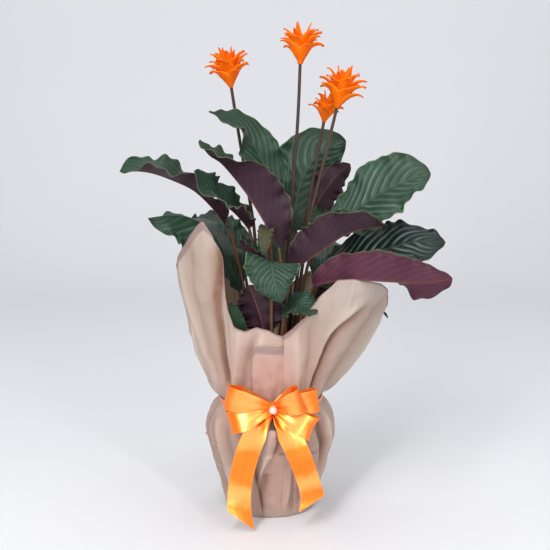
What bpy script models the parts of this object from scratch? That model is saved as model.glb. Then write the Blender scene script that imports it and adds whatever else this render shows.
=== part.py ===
"""Potted prayer plant with orange flower heads, gift wrapped in film and tied with a satin bow.

The origin is the middle of the flat underside, +Z is up and the bow faces -Y.
All tables are in millimetres. MM turns them into metres where the meshes are made.
"""

import math
import random

import bmesh
import bpy
from mathutils import Matrix, Vector

MM = 0.001
GAP = 0.3
SEED = 7

# Pot and soil

POT_HEIGHT = 104.0
POT_TOP_RADIUS = 58.0
POT_BASE_RADIUS = 42.0
POT_WALL = 1.6
POT_RIM_DROP = 9.0
POT_RIM_OUT = 1.8
POT_FLOOR = 2.0
POT_SIDES = 24
FILM = 0.8
POT_BOTTOM = FILM + GAP
SOIL_TOP = 93.0
STEM_DEPTH = 12.0
HOLE_SIDES = 6
HOLE_CLEARANCE = 0.45

# Wrap film: (radius, height) up to the waist, then a collar that rises to an uneven rim

WRAP_BODY = [(45, 0), (50, 4), (57, 32), (64, 62), (69, 88), (66, 107), (58, 120), (55, 126), (56, 131)]
WAIST_HEIGHT = 126.0
WRAP_RIM = [
    # (degrees from the front towards +X, radius, height, bulge of the flare)
    (12, 63, 193, 1.0), (20, 68, 202, 0.98), (30, 74, 216, 0.95), (40, 81, 233, 0.9), (50, 90, 249, 0.85),
    (59, 100, 258, 0.8), (68, 112, 259, 0.72), (78, 123, 257, 0.62), (87, 130, 245, 0.6), (94, 131, 226, 0.62),
    (102, 123, 209, 0.7), (113, 110, 200, 0.8), (126, 100, 212, 0.85), (138, 93, 238, 0.85), (149, 89, 258, 0.85),
    (160, 83, 246, 0.9), (173, 79, 231, 0.9), (186, 78, 226, 0.9), (198, 79, 230, 0.9), (210, 81, 248, 0.85),
    (221, 85, 266, 0.8), (232, 90, 266, 0.75), (244, 95, 254, 0.7), (256, 98, 244, 0.65), (268, 100, 252, 0.6),
    (279, 104, 276, 0.55), (289, 104, 291, 0.55), (299, 100, 304, 0.6), (307, 96, 316, 0.66), (311, 94, 321, 0.7),
    (314, 83, 300, 0.8), (316, 77, 268, 0.85), (319, 72, 232, 0.9), (325, 68, 215, 0.95), (336, 66, 211, 1.0),
    (347, 65, 214, 1.0), (358, 64, 211, 1.0), (366, 63, 203, 1.0),
]
COLLAR_LEVELS = [0.16, 0.36, 0.58, 0.8, 1.0]
PLEAT_DEPTH = 1.3

# Tie and bow

TIE_INNER = 57.6
TIE_OUTER = 58.8
TIE_HALF_HEIGHT = 2.0
TIE_SIDES = 24
RIBBON = 25.0
RIBBON_THICKNESS = 0.9
KNOT = (3.0, -67.5, 130.0)
KNOT_SIZE = (8.0, 8.4, 9.0)
LOOP_ROOT = (3.0, -69.0, 130.0)
BEAD_RADIUS = 4.2

# Each loop: far point, puff towards the front, roll of the ribbon about its run in degrees, width at the far end
BOW_LOOPS = [
    ((-47, -64, 142), 15.0, -8.0, 26.0),
    ((-43, -66, 114), 13.0, 24.0, 24.0),
    ((34, -70, 142), 20.0, 14.0, 27.0),
    ((51, -60, 137), 9.0, 4.0, 25.0),
    ((45, -72, 109), 14.0, -30.0, 25.0),
]
# Each tail: centre line from the knot down, width direction at the top and at the end, slant of the cut end
BOW_TAILS = [
    ([(0, -66, 124), (-14, -76, 106), (-24, -81, 84), (-31, -84, 56), (-33, -87, 32), (-31, -91, 12)], 12.0, -11.0),
    ([(6, -66, 122), (20, -77, 102), (31, -81, 80), (39, -81, 58), (44, -81, 40), (44, -82, 26)], -14.0, 11.0),
]

# Leaves: root in the soil, start of the blade, then the rib of the blade to its tip.
# face gives the direction of the upper side from base to tip.
# left and right give how far each half folds towards that side, in degrees, at base, middle and tip.

STALK_RADIUS = 2.1
NECK_RADIUS = 1.7
BLADE = 0.8
RIB_DEPTH = 1.3
LEAVES = [
    dict(name="leaf_left_far", root=(-14, 0), neck=(-46, -6, 317), width=66,
         rib=[(-62, -10, 338), (-81, -16, 357), (-102, -20, 368), (-131, -26, 378), (-161, -30, 379)],
         face=[(0.3, 0, 1), (0, 0, 1)], left=(20, 26, 20), right=(50, 45, 30), wave=4.0),
    dict(name="leaf_left_near", root=(-12, -11), neck=(-23, -28, 318), width=58,
         rib=[(-35, -36, 333), (-50, -44, 347), (-65, -54, 364), (-79, -62, 381)],
         face=[(0.7, -0.1, 0.7), (0.3, -0.3, 0.9)], left=(50, 20, -30), right=(35, 35, 40), wave=3.2),
    dict(name="leaf_left_tall", root=(8, -14), neck=(9, -34, 298), width=74,
         rib=[(-6, -42, 326), (-25, -50, 357), (-50, -57, 392), (-73, -60, 413)],
         face=[(0.58, 0.71, 0.4), (0.5, 0.5, 0.6), (0.3, -0.4, 0.85)], left=(45, 45, 20), right=(60, 60, 30),
         wave=3.0),
    dict(name="leaf_back_left", root=(3, 12), neck=(20, 18, 321), width=52,
         rib=[(10, 16, 354), (-5, 11, 388), (-26, 3, 428), (-44, -8, 447), (-66, -18, 446)],
         face=[(-0.1, -0.8, 0.5), (0, -0.5, 0.85)], left=(15, 12, 5), right=(15, 12, 10), wave=3.5),
    dict(name="leaf_back_sliver", root=(8, 24), neck=(18, 30, 318), width=26,
         rib=[(15, 31, 342), (12, 31, 370), (10, 31, 402)],
         face=[(0.6, -0.7, 0), (0.6, -0.7, 0)], left=(40, 40, 20), right=(40, 40, 20), wave=1.0),
    dict(name="leaf_back_tall", root=(18, 22), neck=(26, 42, 308), width=84,
         rib=[(29, 48, 338), (37, 52, 368), (55, 54, 395), (86, 49, 410)],
         face=[(0, -1, 0.1), (0.1, -0.9, 0.4)], left=(12, 10, 5), right=(12, 5, -20), wave=4.0),
    dict(name="leaf_back_right", root=(24, 34), neck=(43, 64, 308), width=50,
         rib=[(52, 68, 328), (64, 70, 346), (80, 70, 364), (98, 67, 379)],
         face=[(0, 0.9, 0.3), (0, 0.9, 0.3)], left=(20, 20, 10), right=(20, 20, 10), wave=2.5),
    dict(name="leaf_right_high", root=(25, 7), neck=(57, 8, 315), width=90,
         rib=[(74, 5, 324), (100, 1, 340), (133, -5, 361), (157, -9, 371), (174, -12, 376)],
         face=[(-0.3, -0.72, 0.62), (-0.3, -0.72, 0.62)], left=(12, 10, 8), right=(12, 10, 5), wave=2.6),
    dict(name="leaf_right_dark", root=(19, -20), neck=(24, -36, 272), width=66,
         rib=[(36, -42, 283), (54, -49, 296), (84, -55, 316), (123, -53, 323)],
         face=[(-0.3, 0, 0.95), (-0.1, 0, 1)], left=(62, 60, 45), right=(75, 72, 40), wave=3.6),
    dict(name="leaf_front_droop", root=(1, -41), neck=(1, -47, 277), width=62,
         rib=[(1, -56, 281), (2, -64, 273), (4, -70, 258), (10, -74, 238)],
         face=[(0, -0.3, 0.95), (0, -1, 0.3), (0, -1, 0.1)], left=(0, 0, 0), right=(0, 0, 0), wave=2.0),
    dict(name="leaf_right_low", root=(33, -3), neck=(60, 2, 269), width=76,
         rib=[(82, -1, 277), (112, -5, 288), (150, -11, 300), (172, -14, 302), (191, -15, 301)],
         face=[(-0.1, -0.5, 0.87), (-0.05, -0.5, 0.87)], left=(12, 15, 5), right=(18, 24, 5), wave=2.6),
    dict(name="leaf_right_front", root=(29, -14), neck=(47, -30, 255), width=68,
         rib=[(62, -38, 260), (85, -46, 264), (133, -56, 266), (165, -60, 268), (192, -61, 270)],
         face=[(0, 0.95, 0.3), (0, 0.95, 0.3)], left=(84, 84, 5), right=(4, 8, 10), wave=3.0),
    dict(name="leaf_left_dark", root=(-4, -19), neck=(-4, -26, 260), width=32,
         rib=[(-11, -30, 270), (-21, -34, 285), (-29, -37, 299), (-34, -39, 314)],
         face=[(0.5, 0.1, 0.85), (0.5, -0.1, 0.85)], left=(60, 55, 20), right=(75, 75, 30), wave=2.0),
    dict(name="leaf_center_young", root=(1, -8), neck=(0, -30, 297), width=18,
         rib=[(-3, -42, 304), (-5, -50, 300), (-5, -55, 289)],
         face=[(0, -0.2, 1), (-0.1, -0.9, 0.2)], left=(15, 20, 10), right=(15, 20, 10), wave=0.6),
    dict(name="leaf_left_low", root=(-24, -10), neck=(-34, -12, 246), width=72,
         rib=[(-42, -13, 271), (-55, -15, 298), (-72, -18, 320), (-98, -24, 331), (-131, -34, 329)],
         face=[(0.2, 0, 1), (0, 0, 1)], left=(5, -58, -45), right=(5, 8, 12), wave=3.4),
    dict(name="leaf_collar_right", root=(12, -37), neck=(15, -45, 224), width=42,
         rib=[(22, -51, 235), (33, -59, 239), (49, -67, 231)],
         face=[(-0.3, -0.4, 0.85), (0.3, -0.6, 0.75)], left=(10, 10, 5), right=(10, 10, 5), wave=2.2),
    dict(name="leaf_collar_mid", root=(-7, -29), neck=(-6, -33, 203), width=54,
         rib=[(-10, -34, 219), (-16, -35, 238), (-23, -35, 257)],
         face=[(0.1, 1, 0.1), (0.1, 1, 0.1)], left=(5, 8, 5), right=(25, 25, 15), wave=2.4),
    dict(name="leaf_collar_left", root=(-17, -24), neck=(-31, -43, 201), width=16,
         rib=[(-34, -46, 214), (-38, -48, 228), (-43, -49, 240)],
         face=[(0.2, -0.9, 0.3), (0.2, -0.9, 0.3)], left=(20, 20, 10), right=(20, 20, 10), wave=0.8),
    dict(name="leaf_right_under", root=(36, 9), neck=(44, 16, 228), width=38,
         rib=[(60, 22, 240), (82, 28, 243), (110, 31, 233), (134, 29, 209)],
         face=[(-0.3, 0, 0.95), (0.3, 0, 0.95)], left=(40, 35, 20), right=(40, 35, 20), wave=1.8),
    dict(name="leaf_rear_left", root=(-16, 16), neck=(-30, 37, 262), width=56,
         rib=[(-43, 45, 286), (-60, 54, 306), (-79, 64, 318), (-96, 75, 318)],
         face=[(0.4, -0.4, 0.8), (0, 0, 1)], left=(25, 20, 10), right=(40, 38, 15), wave=3.0),
    dict(name="leaf_rear_mid", root=(-2, 28), neck=(4, 48, 250), width=50,
         rib=[(7, 58, 276), (9, 76, 298), (11, 96, 308), (12, 116, 304)],
         face=[(0, -0.7, 0.7), (0, 0.2, 1)], left=(20, 18, 10), right=(20, 18, 10), wave=3.0),
    dict(name="leaf_rear_right", root=(34, 24), neck=(54, 42, 252), width=60,
         rib=[(66, 52, 268), (82, 66, 280), (102, 82, 284), (120, 96, 276)],
         face=[(-0.5, -0.3, 0.8), (0.1, 0.1, 1)], left=(25, 20, 5), right=(25, 20, 5), wave=3.0),
]

# Flowers: root in the soil, two points on the stem, foot of the head, size of the head against the largest
FLOWERS = [
    dict(name="left", root=(-6, 6), stem=[(-19, 14, 320), (-33, 20, 404)], foot=(-43, 16, 469), size=1.0, turn=20),
    dict(name="tall", root=(9, -3), stem=[(23, -13, 347), (29, -10, 423)], foot=(32, -8, 493), size=1.0, turn=0),
    dict(name="front", root=(18, -5), stem=[(45, -8, 336), (61, -6, 401)], foot=(72, -6, 447), size=1.02, turn=70),
    dict(name="behind", root=(14, 9), stem=[(38, 14, 317), (50, 16, 384)], foot=(59, 20, 431), size=0.78, turn=45),
]
FLOWER_STEM_RADIUS = 2.0
FLOWER_STEM_TOP = 1.7
CORE = [(2.6, 0), (5.5, 4), (9.5, 12), (9.5, 20), (6.0, 29)]
# Tiers of bracts: count, height on the core, lean at foot and tip in degrees, length, width
BRACT_TIERS = [
    (4, 4, 42, 84, 22, 14),
    (5, 10, 36, 92, 27, 14),
    (4, 16, 22, 72, 27, 13),
    (3, 22, 8, 38, 23, 12),
]
BRACT = 1.0
BRACT_SINK = 2.0


def material(name, color, roughness, metallic=0.0):
    """Return a plain Principled material."""
    made = bpy.data.materials.get(name) or bpy.data.materials.new(name)
    made.use_nodes = True
    shader = made.node_tree.nodes["Principled BSDF"]
    shader.inputs["Base Color"].default_value = (*color, 1.0)
    shader.inputs["Roughness"].default_value = roughness
    shader.inputs["Metallic"].default_value = metallic
    made.diffuse_color = (*color, 1.0)
    return made


def solid(name, points, faces, look):
    """Make an object from points in millimetres, with all faces turned outwards."""
    bm = bmesh.new()
    verts = [bm.verts.new(Vector(point) * MM) for point in points]
    for face in faces:
        bm.faces.new([verts[index] for index in face])
    bmesh.ops.recalc_face_normals(bm, faces=bm.faces)
    mesh = bpy.data.meshes.new(name)
    bm.to_mesh(mesh)
    bm.free()
    mesh.shade_smooth()
    mesh.set_sharp_from_angle(angle=math.radians(50))
    mesh.materials.append(look)
    made = bpy.data.objects.new(name, mesh)
    bpy.context.scene.collection.objects.link(made)
    return made


def fuse(target, others):
    """Join the other solids into the target with one Boolean union and remove them."""
    group = bpy.data.collections.new(target.name + "_pieces")
    bpy.context.scene.collection.children.link(group)
    for other in others:
        group.objects.link(other)
    union = target.modifiers.new("union", "BOOLEAN")
    union.operation = "UNION"
    union.operand_type = "COLLECTION"
    union.collection = group
    bpy.context.view_layer.update()
    seen = target.evaluated_get(bpy.context.evaluated_depsgraph_get())
    joined = bpy.data.meshes.new_from_object(seen)
    target.modifiers.clear()
    target.data = joined
    for other in others:
        bpy.data.objects.remove(other)
    bpy.data.collections.remove(group)
    return target


def between(values, share):
    """Read a value at a share from 0 to 1 along a short list of evenly spaced values."""
    place = share * (len(values) - 1)
    low = min(int(place), len(values) - 2)
    part = place - low
    first = values[low]
    second = values[low + 1]
    return first * (1 - part) + second * part


def smooth_path(points, count, start=None):
    """Return count points evenly spaced along a Catmull-Rom curve through the points."""
    knots = [Vector(point) for point in points]
    slopes = [(after - before) / 2 for before, after in zip(knots, knots[2:])]
    first = start if start is not None else (knots[1] - knots[0]) * 1.5 - slopes[0] * 0.5
    last = (knots[-1] - knots[-2]) * 1.5 - slopes[-1] * 0.5
    slopes = [first] + slopes + [last]
    fine = []
    steps = 24
    for index in range(len(knots) - 1):
        for step in range(steps):
            t = step / steps
            fine.append(knots[index] * (2 * t ** 3 - 3 * t ** 2 + 1) + slopes[index] * (t ** 3 - 2 * t ** 2 + t)
                        + knots[index + 1] * (3 * t ** 2 - 2 * t ** 3) + slopes[index + 1] * (t ** 3 - t ** 2))
    fine.append(knots[-1])
    lengths = [0.0]
    for before, after in zip(fine, fine[1:]):
        lengths.append(lengths[-1] + (after - before).length)
    result = []
    place = 0
    for index in range(count):
        goal = lengths[-1] * index / (count - 1)
        while place < len(lengths) - 2 and lengths[place + 1] < goal:
            place += 1
        part = (goal - lengths[place]) / (lengths[place + 1] - lengths[place])
        result.append(fine[place].lerp(fine[place + 1], part))
    return result


def directions(points):
    """Return the unit direction of travel at each point."""
    last = len(points) - 1
    return [(points[min(i + 1, last)] - points[max(i - 1, 0)]).normalized() for i in range(last + 1)]


def square_to(direction, vector):
    """Return the part of a vector square to a direction, as a unit vector."""
    return (vector - direction * vector.dot(direction)).normalized()


def carry(tangents, start):
    """Carry a side direction along a run without twist."""
    sides = [square_to(tangents[0], start)]
    for tangent in tangents[1:]:
        sides.append(square_to(tangent, sides[-1]))
    return sides


def closed_sheet(name, tops, bottoms, look):
    """Close two rows-by-columns faces into one solid, split into triangles alike on both faces."""
    columns = len(tops[0])
    points = []
    for top, bottom in zip(tops, bottoms):
        points.extend(top)
        points.extend(bottom)
    faces = []

    def top_at(row, column):
        return row * 2 * columns + column

    def bottom_at(row, column):
        return row * 2 * columns + columns + column

    def quad(a, b, c, d):
        faces.append((a, b, c))
        faces.append((a, c, d))

    for row in range(len(tops) - 1):
        for column in range(columns - 1):
            quad(top_at(row, column), top_at(row, column + 1), top_at(row + 1, column + 1), top_at(row + 1, column))
            quad(bottom_at(row, column), bottom_at(row, column + 1), bottom_at(row + 1, column + 1),
                 bottom_at(row + 1, column))
        for column in (0, columns - 1):
            quad(top_at(row, column), top_at(row + 1, column), bottom_at(row + 1, column), bottom_at(row, column))
    for row in (0, len(tops) - 1):
        for column in range(columns - 1):
            quad(top_at(row, column), top_at(row, column + 1), bottom_at(row, column + 1), bottom_at(row, column))
    return solid(name, points, faces, look)


def turned(name, profile, sides, look):
    """Turn a (radius, height) profile that starts and ends on the axis into a solid."""
    low = profile[0]
    high = profile[-1]
    points = [(0, 0, low[1]), (0, 0, high[1])]
    rings = profile[1:-1]
    for radius, height in rings:
        for side in range(sides):
            angle = math.tau * side / sides
            points.append((radius * math.cos(angle), radius * math.sin(angle), height))
    faces = []
    for side in range(sides):
        after = (side + 1) % sides
        faces.append((0, 2 + side, 2 + after))
        end = 2 + (len(rings) - 1) * sides
        faces.append((1, end + side, end + after))
        for ring in range(len(rings) - 1):
            a = 2 + ring * sides
            b = a + sides
            faces.append((a + side, a + after, b + after))
            faces.append((a + side, b + after, b + side))
    return solid(name, points, faces, look)


def make_pot():
    """Nursery pot: tapered, open at the top, with a turned-out rim."""
    top = POT_BOTTOM + POT_HEIGHT
    rim_radius = POT_TOP_RADIUS + POT_RIM_OUT
    rim_foot = top - POT_RIM_DROP
    under_rim = POT_TOP_RADIUS - 1.0
    profile = [
        (0, POT_BOTTOM), (POT_BASE_RADIUS, POT_BOTTOM), (under_rim, rim_foot), (rim_radius, rim_foot),
        (rim_radius, top), (POT_TOP_RADIUS - POT_WALL, top), (under_rim - POT_WALL, rim_foot),
        (POT_BASE_RADIUS - POT_WALL, POT_BOTTOM + POT_FLOOR), (0, POT_BOTTOM + POT_FLOOR),
    ]
    return turned("pot", profile, POT_SIDES, material("pot_plastic", (0.03, 0.022, 0.018), 0.55))


def pot_inside(height):
    """Inner radius of the pot at a height."""
    rim_foot = POT_BOTTOM + POT_HEIGHT - POT_RIM_DROP
    share = (height - POT_BOTTOM) / (rim_foot - POT_BOTTOM)
    return POT_BASE_RADIUS + (POT_TOP_RADIUS - 1.0 - POT_BASE_RADIUS) * share - POT_WALL


def make_soil():
    """Soil that fills the pot, with a plain hole for each stalk and stem."""
    low = POT_BOTTOM + POT_FLOOR + GAP
    flat = math.cos(math.pi / POT_SIDES)
    edge = SOIL_TOP - 3.0
    inner = (pot_inside(edge) - GAP) * flat
    profile = [
        (0, low), ((pot_inside(low) - 2 * GAP) * flat, low), (inner, edge), (inner * 0.86, SOIL_TOP - 1.0),
        (inner * 0.66, SOIL_TOP), (0, SOIL_TOP),
    ]
    soil = turned("soil", profile, POT_SIDES, material("soil", (0.05, 0.03, 0.02), 0.95))
    cutter_points = []
    cutter_faces = []
    for spec in LEAVES + FLOWERS:
        radius = (STALK_RADIUS + HOLE_CLEARANCE) / math.cos(math.pi / HOLE_SIDES)
        start = len(cutter_points)
        for height in (SOIL_TOP - STEM_DEPTH - GAP, SOIL_TOP + 2 * STEM_DEPTH):
            for side in range(HOLE_SIDES):
                angle = math.tau * side / HOLE_SIDES
                x = spec["root"][0] + radius * math.cos(angle)
                y = spec["root"][1] + radius * math.sin(angle)
                cutter_points.append((x, y, height))
        cutter_faces.append([start + side for side in range(HOLE_SIDES)])
        cutter_faces.append([start + HOLE_SIDES + side for side in range(HOLE_SIDES)])
        for side in range(HOLE_SIDES):
            after = (side + 1) % HOLE_SIDES
            cutter_faces.append([start + side, start + after, start + HOLE_SIDES + after,
                                 start + HOLE_SIDES + side])
    cutter = solid("stalk_holes", cutter_points, cutter_faces, soil.data.materials[0])
    cutter.hide_render = True
    cutter.display_type = "WIRE"
    cut = soil.modifiers.new("stalk holes", "BOOLEAN")
    cut.operation = "DIFFERENCE"
    cut.object = cutter
    return soil


def wrap_columns():
    """Angles of the wrap's columns with the rim there: the rim's own points and one between each pair."""
    columns = []
    for index, here in enumerate(WRAP_RIM):
        after = WRAP_RIM[(index + 1) % len(WRAP_RIM)]
        turn = 360 if index == len(WRAP_RIM) - 1 else 0
        columns.append(here)
        if after[0] + turn - here[0] > 14:
            middle = [(a + b) / 2 for a, b in zip(here, (after[0] + turn, *after[1:]))]
            columns.append(tuple(middle))
    return columns


def wrap_point(angle, radius, height, pleat):
    """A point of the wrap, moved in or out by the gathers round the waist."""
    near_waist = math.exp(-((height - WAIST_HEIGHT) / 26.0) ** 2)
    turn = math.radians(angle)
    radius += PLEAT_DEPTH * near_waist * pleat * min(1.0, abs(height - WAIST_HEIGHT) / 8.0)
    return Vector((radius * math.sin(turn), -radius * math.cos(turn), height))


def make_wrap():
    """Film wrap: closed under the pot, gathered at the waist and flared to an uneven rim."""
    columns = wrap_columns()
    rows = []
    for radius, height in WRAP_BODY:
        row = []
        for index, (angle, _, _, _) in enumerate(columns):
            row.append(wrap_point(angle, radius, height, (-1) ** index))
        rows.append(row)
    neck_radius, neck_height = WRAP_BODY[-1]
    for level in COLLAR_LEVELS:
        row = []
        for index, (angle, radius, height, flare) in enumerate(columns):
            r = neck_radius + (radius - neck_radius) * level ** flare
            z = neck_height + (height - neck_height) * level
            row.append(wrap_point(angle, r, z, (-1) ** index))
        rows.append(row)
    count = len(columns)
    points = [point for row in rows for point in row]
    points.append((0, 0, 0))
    center = len(points) - 1
    faces = []
    for side in range(count):
        after = (side + 1) % count
        faces.append((center, side, after))
        for row in range(len(rows) - 1):
            a = row * count
            b = a + count
            faces.append((a + side, a + after, b + after))
            faces.append((a + side, b + after, b + side))
    wrap = solid("wrap_film", points, faces, material("film", (0.6, 0.45, 0.35), 0.5))
    shell = wrap.modifiers.new("film thickness", "SOLIDIFY")
    shell.thickness = FILM * MM
    shell.offset = -1
    shell.use_rim = True
    return wrap


def make_tie():
    """Narrow ribbon tied round the waist of the wrap."""
    points = []
    for radius, height in ((TIE_INNER, -1), (TIE_OUTER, -1), (TIE_OUTER, 1), (TIE_INNER, 1)):
        for side in range(TIE_SIDES):
            angle = math.tau * side / TIE_SIDES
            z = WAIST_HEIGHT + height * TIE_HALF_HEIGHT
            points.append((radius * math.cos(angle), radius * math.sin(angle), z))
    faces = []
    for ring in range(4):
        a = ring * TIE_SIDES
        b = ((ring + 1) % 4) * TIE_SIDES
        for side in range(TIE_SIDES):
            after = (side + 1) % TIE_SIDES
            faces.append((a + side, a + after, b + after, b + side))
    return solid("waist_tie", points, faces, material("satin", (0.9, 0.25, 0.03), 0.35))


def ribbon_strip(name, path, across, widths, look):
    """A strip of ribbon along a path, with its width direction and width at each point."""
    tangents = directions(path)
    tops = []
    bottoms = []
    for point, tangent, side, width in zip(path, tangents, across, widths):
        side = square_to(tangent, side)
        normal = tangent.cross(side).normalized() * RIBBON_THICKNESS / 2
        row = [point + side * width * share for share in (-0.5, 0.5)]
        tops.append([place + normal for place in row])
        bottoms.append([place - normal for place in row])
    return closed_sheet(name, tops, bottoms, look)


def bow_loop(index, far, puff, roll, far_width, look):
    """One loop: out from the knot along the front, round the far end and back behind."""
    knot = Vector(LOOP_ROOT)
    far = Vector(far)
    run = far - knot
    front = Vector((0, -1, 0))
    across = square_to(run.normalized(), Vector((0, 0, 1)))
    across = Matrix.Rotation(math.radians(roll), 3, run.normalized()) @ across
    path = []
    widths = []
    steps = 11
    for step in range(steps):
        angle = math.pi * 2 * step / (steps - 1)
        reach = (1 - math.cos(angle)) / 2
        lift = math.sin(angle) * (0.25 + 0.7 * reach)
        path.append(knot + run * reach + front * puff * (lift + 0.25 * reach))
        widths.append(9.0 + (far_width - 9.0) * min(1.0, reach * 1.5))
    return ribbon_strip("bow_loop_%d" % index, path, [across] * steps, widths, look)


def bow_tail(index, route, roll, slant, look):
    """One tail: from the knot down the front, cut at a slant."""
    steps = 8
    path = smooth_path(route, steps)
    across = []
    widths = []
    for step in range(steps):
        share = step / (steps - 1)
        across.append(Matrix.Rotation(math.radians(roll * share), 3, "Z") @ Vector((1, 0, 0)))
        widths.append(9.0 + (RIBBON - 9.0) * min(1.0, share * 4))
    strip = ribbon_strip("bow_tail_%d" % index, path, across, widths, look)
    ends = sorted(strip.data.vertices, key=lambda vertex: vertex.index)[-4:]
    for order, vertex in enumerate(ends):
        vertex.co.z += slant * MM * (2 * (order % 2) - 1)
    return strip


def make_bow():
    """Satin bow: knot, loops and tails of one ribbon, joined as one body."""
    look = material("satin", (0.9, 0.25, 0.03), 0.35)
    knot = ellipsoid("ribbon_bow", KNOT, KNOT_SIZE, 10, 6, look)
    pieces = []
    for index, (far, puff, roll, far_width) in enumerate(BOW_LOOPS):
        pieces.append(bow_loop(index, far, puff, roll, far_width, look))
    for index, (route, roll, slant) in enumerate(BOW_TAILS):
        pieces.append(bow_tail(index, route, roll, slant, look))
    return fuse(knot, pieces)


def ellipsoid(name, center, radii, around, up, look):
    """A rounded solid with its own half sizes."""
    profile = []
    for ring in range(up + 1):
        angle = math.pi * ring / up - math.pi / 2
        profile.append((math.cos(angle), math.sin(angle)))
    made = turned(name, profile, around, look)
    for vertex in made.data.vertices:
        for axis in range(3):
            vertex.co[axis] = vertex.co[axis] * radii[axis] + center[axis] * MM
    return made


def make_bead():
    """Pearl bead on the front of the knot."""
    y = KNOT[1] - KNOT_SIZE[1] - BEAD_RADIUS - GAP
    radii = (BEAD_RADIUS,) * 3
    return ellipsoid("bow_bead", (KNOT[0], y, KNOT[2]), radii, 10, 6, material("pearl", (0.9, 0.6, 0.5), 0.2))


def stalk_rows(root, target, aim, count):
    """Points of a stalk: straight down in its hole, then a curve to the target, met along aim."""
    x, y = root
    foot = Vector((x, y, SOIL_TOP - STEM_DEPTH))
    level = Vector((x, y, SOIL_TOP + 4.0))
    reach = (target - level).length
    handle = level + Vector((0, 0, reach * 0.3))
    arrival = ((target - level).normalized() + aim * 0.6).normalized()
    before = target - arrival * reach * 0.25
    points = [foot, level]
    for index in range(1, count):
        t = index / count
        points.append(level * (1 - t) ** 3 + handle * 3 * t * (1 - t) ** 2
                      + before * 3 * t * t * (1 - t) + target * t ** 3)
    return points


def blade_outline(share):
    """Half width of the blade against its widest, with a rounded base and a short point."""
    return math.sin(math.pi * share ** 0.86) ** 0.62


def make_leaf(spec, index, look):
    """One leaf: a round stalk that opens into a folded blade with waved margins."""
    rng = random.Random(SEED + index)
    large = spec["width"] >= 90
    shares = (-1, -0.66, -0.3, 0, 0.3, 0.66, 1) if large else (-1, -0.5, 0, 0.5, 1)
    stations = 12 if spec["width"] > 40 else 9
    rib = smooth_path([spec["neck"]] + spec["rib"], stations)
    tangents = directions(rib)
    faces = [Vector(face) for face in spec["face"]]
    ups = [square_to(tangents[i], between(faces, i / (stations - 1))) for i in range(stations)]
    stalk = stalk_rows(spec["root"], rib[0], tangents[0], 4)
    stalk_tangents = directions(stalk + [rib[0]])[:-1]
    stalk_ups = carry(stalk_tangents[::-1], ups[0])[::-1]
    waves = 3.0 + rng.random()
    phases = (rng.uniform(0, math.tau), rng.uniform(0, math.tau))
    tops = []
    bottoms = []

    def round_row(point, tangent, up, radius):
        side = tangent.cross(up)
        angles = [share * math.radians(78) for share in shares]
        tops.append([point + (side * math.sin(a) + up * math.cos(a)) * radius for a in angles])
        bottoms.append([point + (side * math.sin(a) - up * math.cos(a)) * radius for a in angles])

    for place, (point, tangent, up) in enumerate(zip(stalk, stalk_tangents, stalk_ups)):
        radius = STALK_RADIUS + (NECK_RADIUS - STALK_RADIUS) * place / len(stalk)
        round_row(point, tangent, up, radius)
    round_row(rib[0], tangents[0], ups[0], NECK_RADIUS)
    for station in range(1, stations):
        share = station / (stations - 1)
        side = tangents[station].cross(ups[station])
        up = ups[station]
        half = max(spec["width"] / 2 * blade_outline(min(share, 0.9995)), 0.5)
        top = []
        bottom = []
        for column in shares:
            folds = spec["right"] if column > 0 else spec["left"]
            fold = math.radians(between(folds, share)) * min(1.0, half / 8.0)
            phase = phases[0] if column > 0 else phases[1]
            sign = 1 if column > 0 else -1
            out = side * sign * math.cos(fold) + up * math.sin(fold)
            normal = up * math.cos(fold) - side * sign * math.sin(fold)
            wave = spec["wave"] * math.sin(math.tau * waves * share + phase) * min(1.0, half / 12.0)
            if column == 0:
                normal = up
            place = rib[station] + out * half * abs(column) + normal * wave * abs(column) ** 1.6
            depth = BLADE / 2
            below = depth + (RIB_DEPTH * (1 - share) if column == 0 else 0)
            top.append(place + normal * depth)
            bottom.append(place - normal * below)
        tops.append(top)
        bottoms.append(bottom)
    return closed_sheet(spec["name"], tops, bottoms, look)


def make_flower_stem(spec, look):
    """Round stem from the soil to just under the flower head."""
    route = spec["stem"] + [spec["foot"]]
    aim = (Vector(route[1]) - Vector(route[0])).normalized()
    low = stalk_rows(spec["root"], Vector(route[0]), aim, 4)
    high = smooth_path(route, 5, (Vector(route[1]) - Vector(route[0])))
    points = low + high
    points[-1] = points[-1] - (points[-1] - points[-2]).normalized() * GAP
    tangents = directions(points)
    sides = carry(tangents, Vector((1, 0, 0)))
    tops = []
    bottoms = []
    for place, (point, tangent, side) in enumerate(zip(points, tangents, sides)):
        radius = FLOWER_STEM_RADIUS + (FLOWER_STEM_TOP - FLOWER_STEM_RADIUS) * place / len(points)
        other = tangent.cross(side)
        angles = [math.radians(a) for a in (-67.5, -22.5, 22.5, 67.5)]
        tops.append([point + (side * math.sin(a) + other * math.cos(a)) * radius for a in angles])
        bottoms.append([point + (side * math.sin(a) - other * math.cos(a)) * radius for a in angles])
    return closed_sheet("flower_stem_" + spec["name"], tops, bottoms, look)


def core_radius(height):
    """Radius of the core of a flower head at a height."""
    for (low_radius, low), (high_radius, high) in zip(CORE, CORE[1:]):
        if height <= high:
            return low_radius + (high_radius - low_radius) * (height - low) / (high - low)
    return CORE[-1][0]


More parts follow.
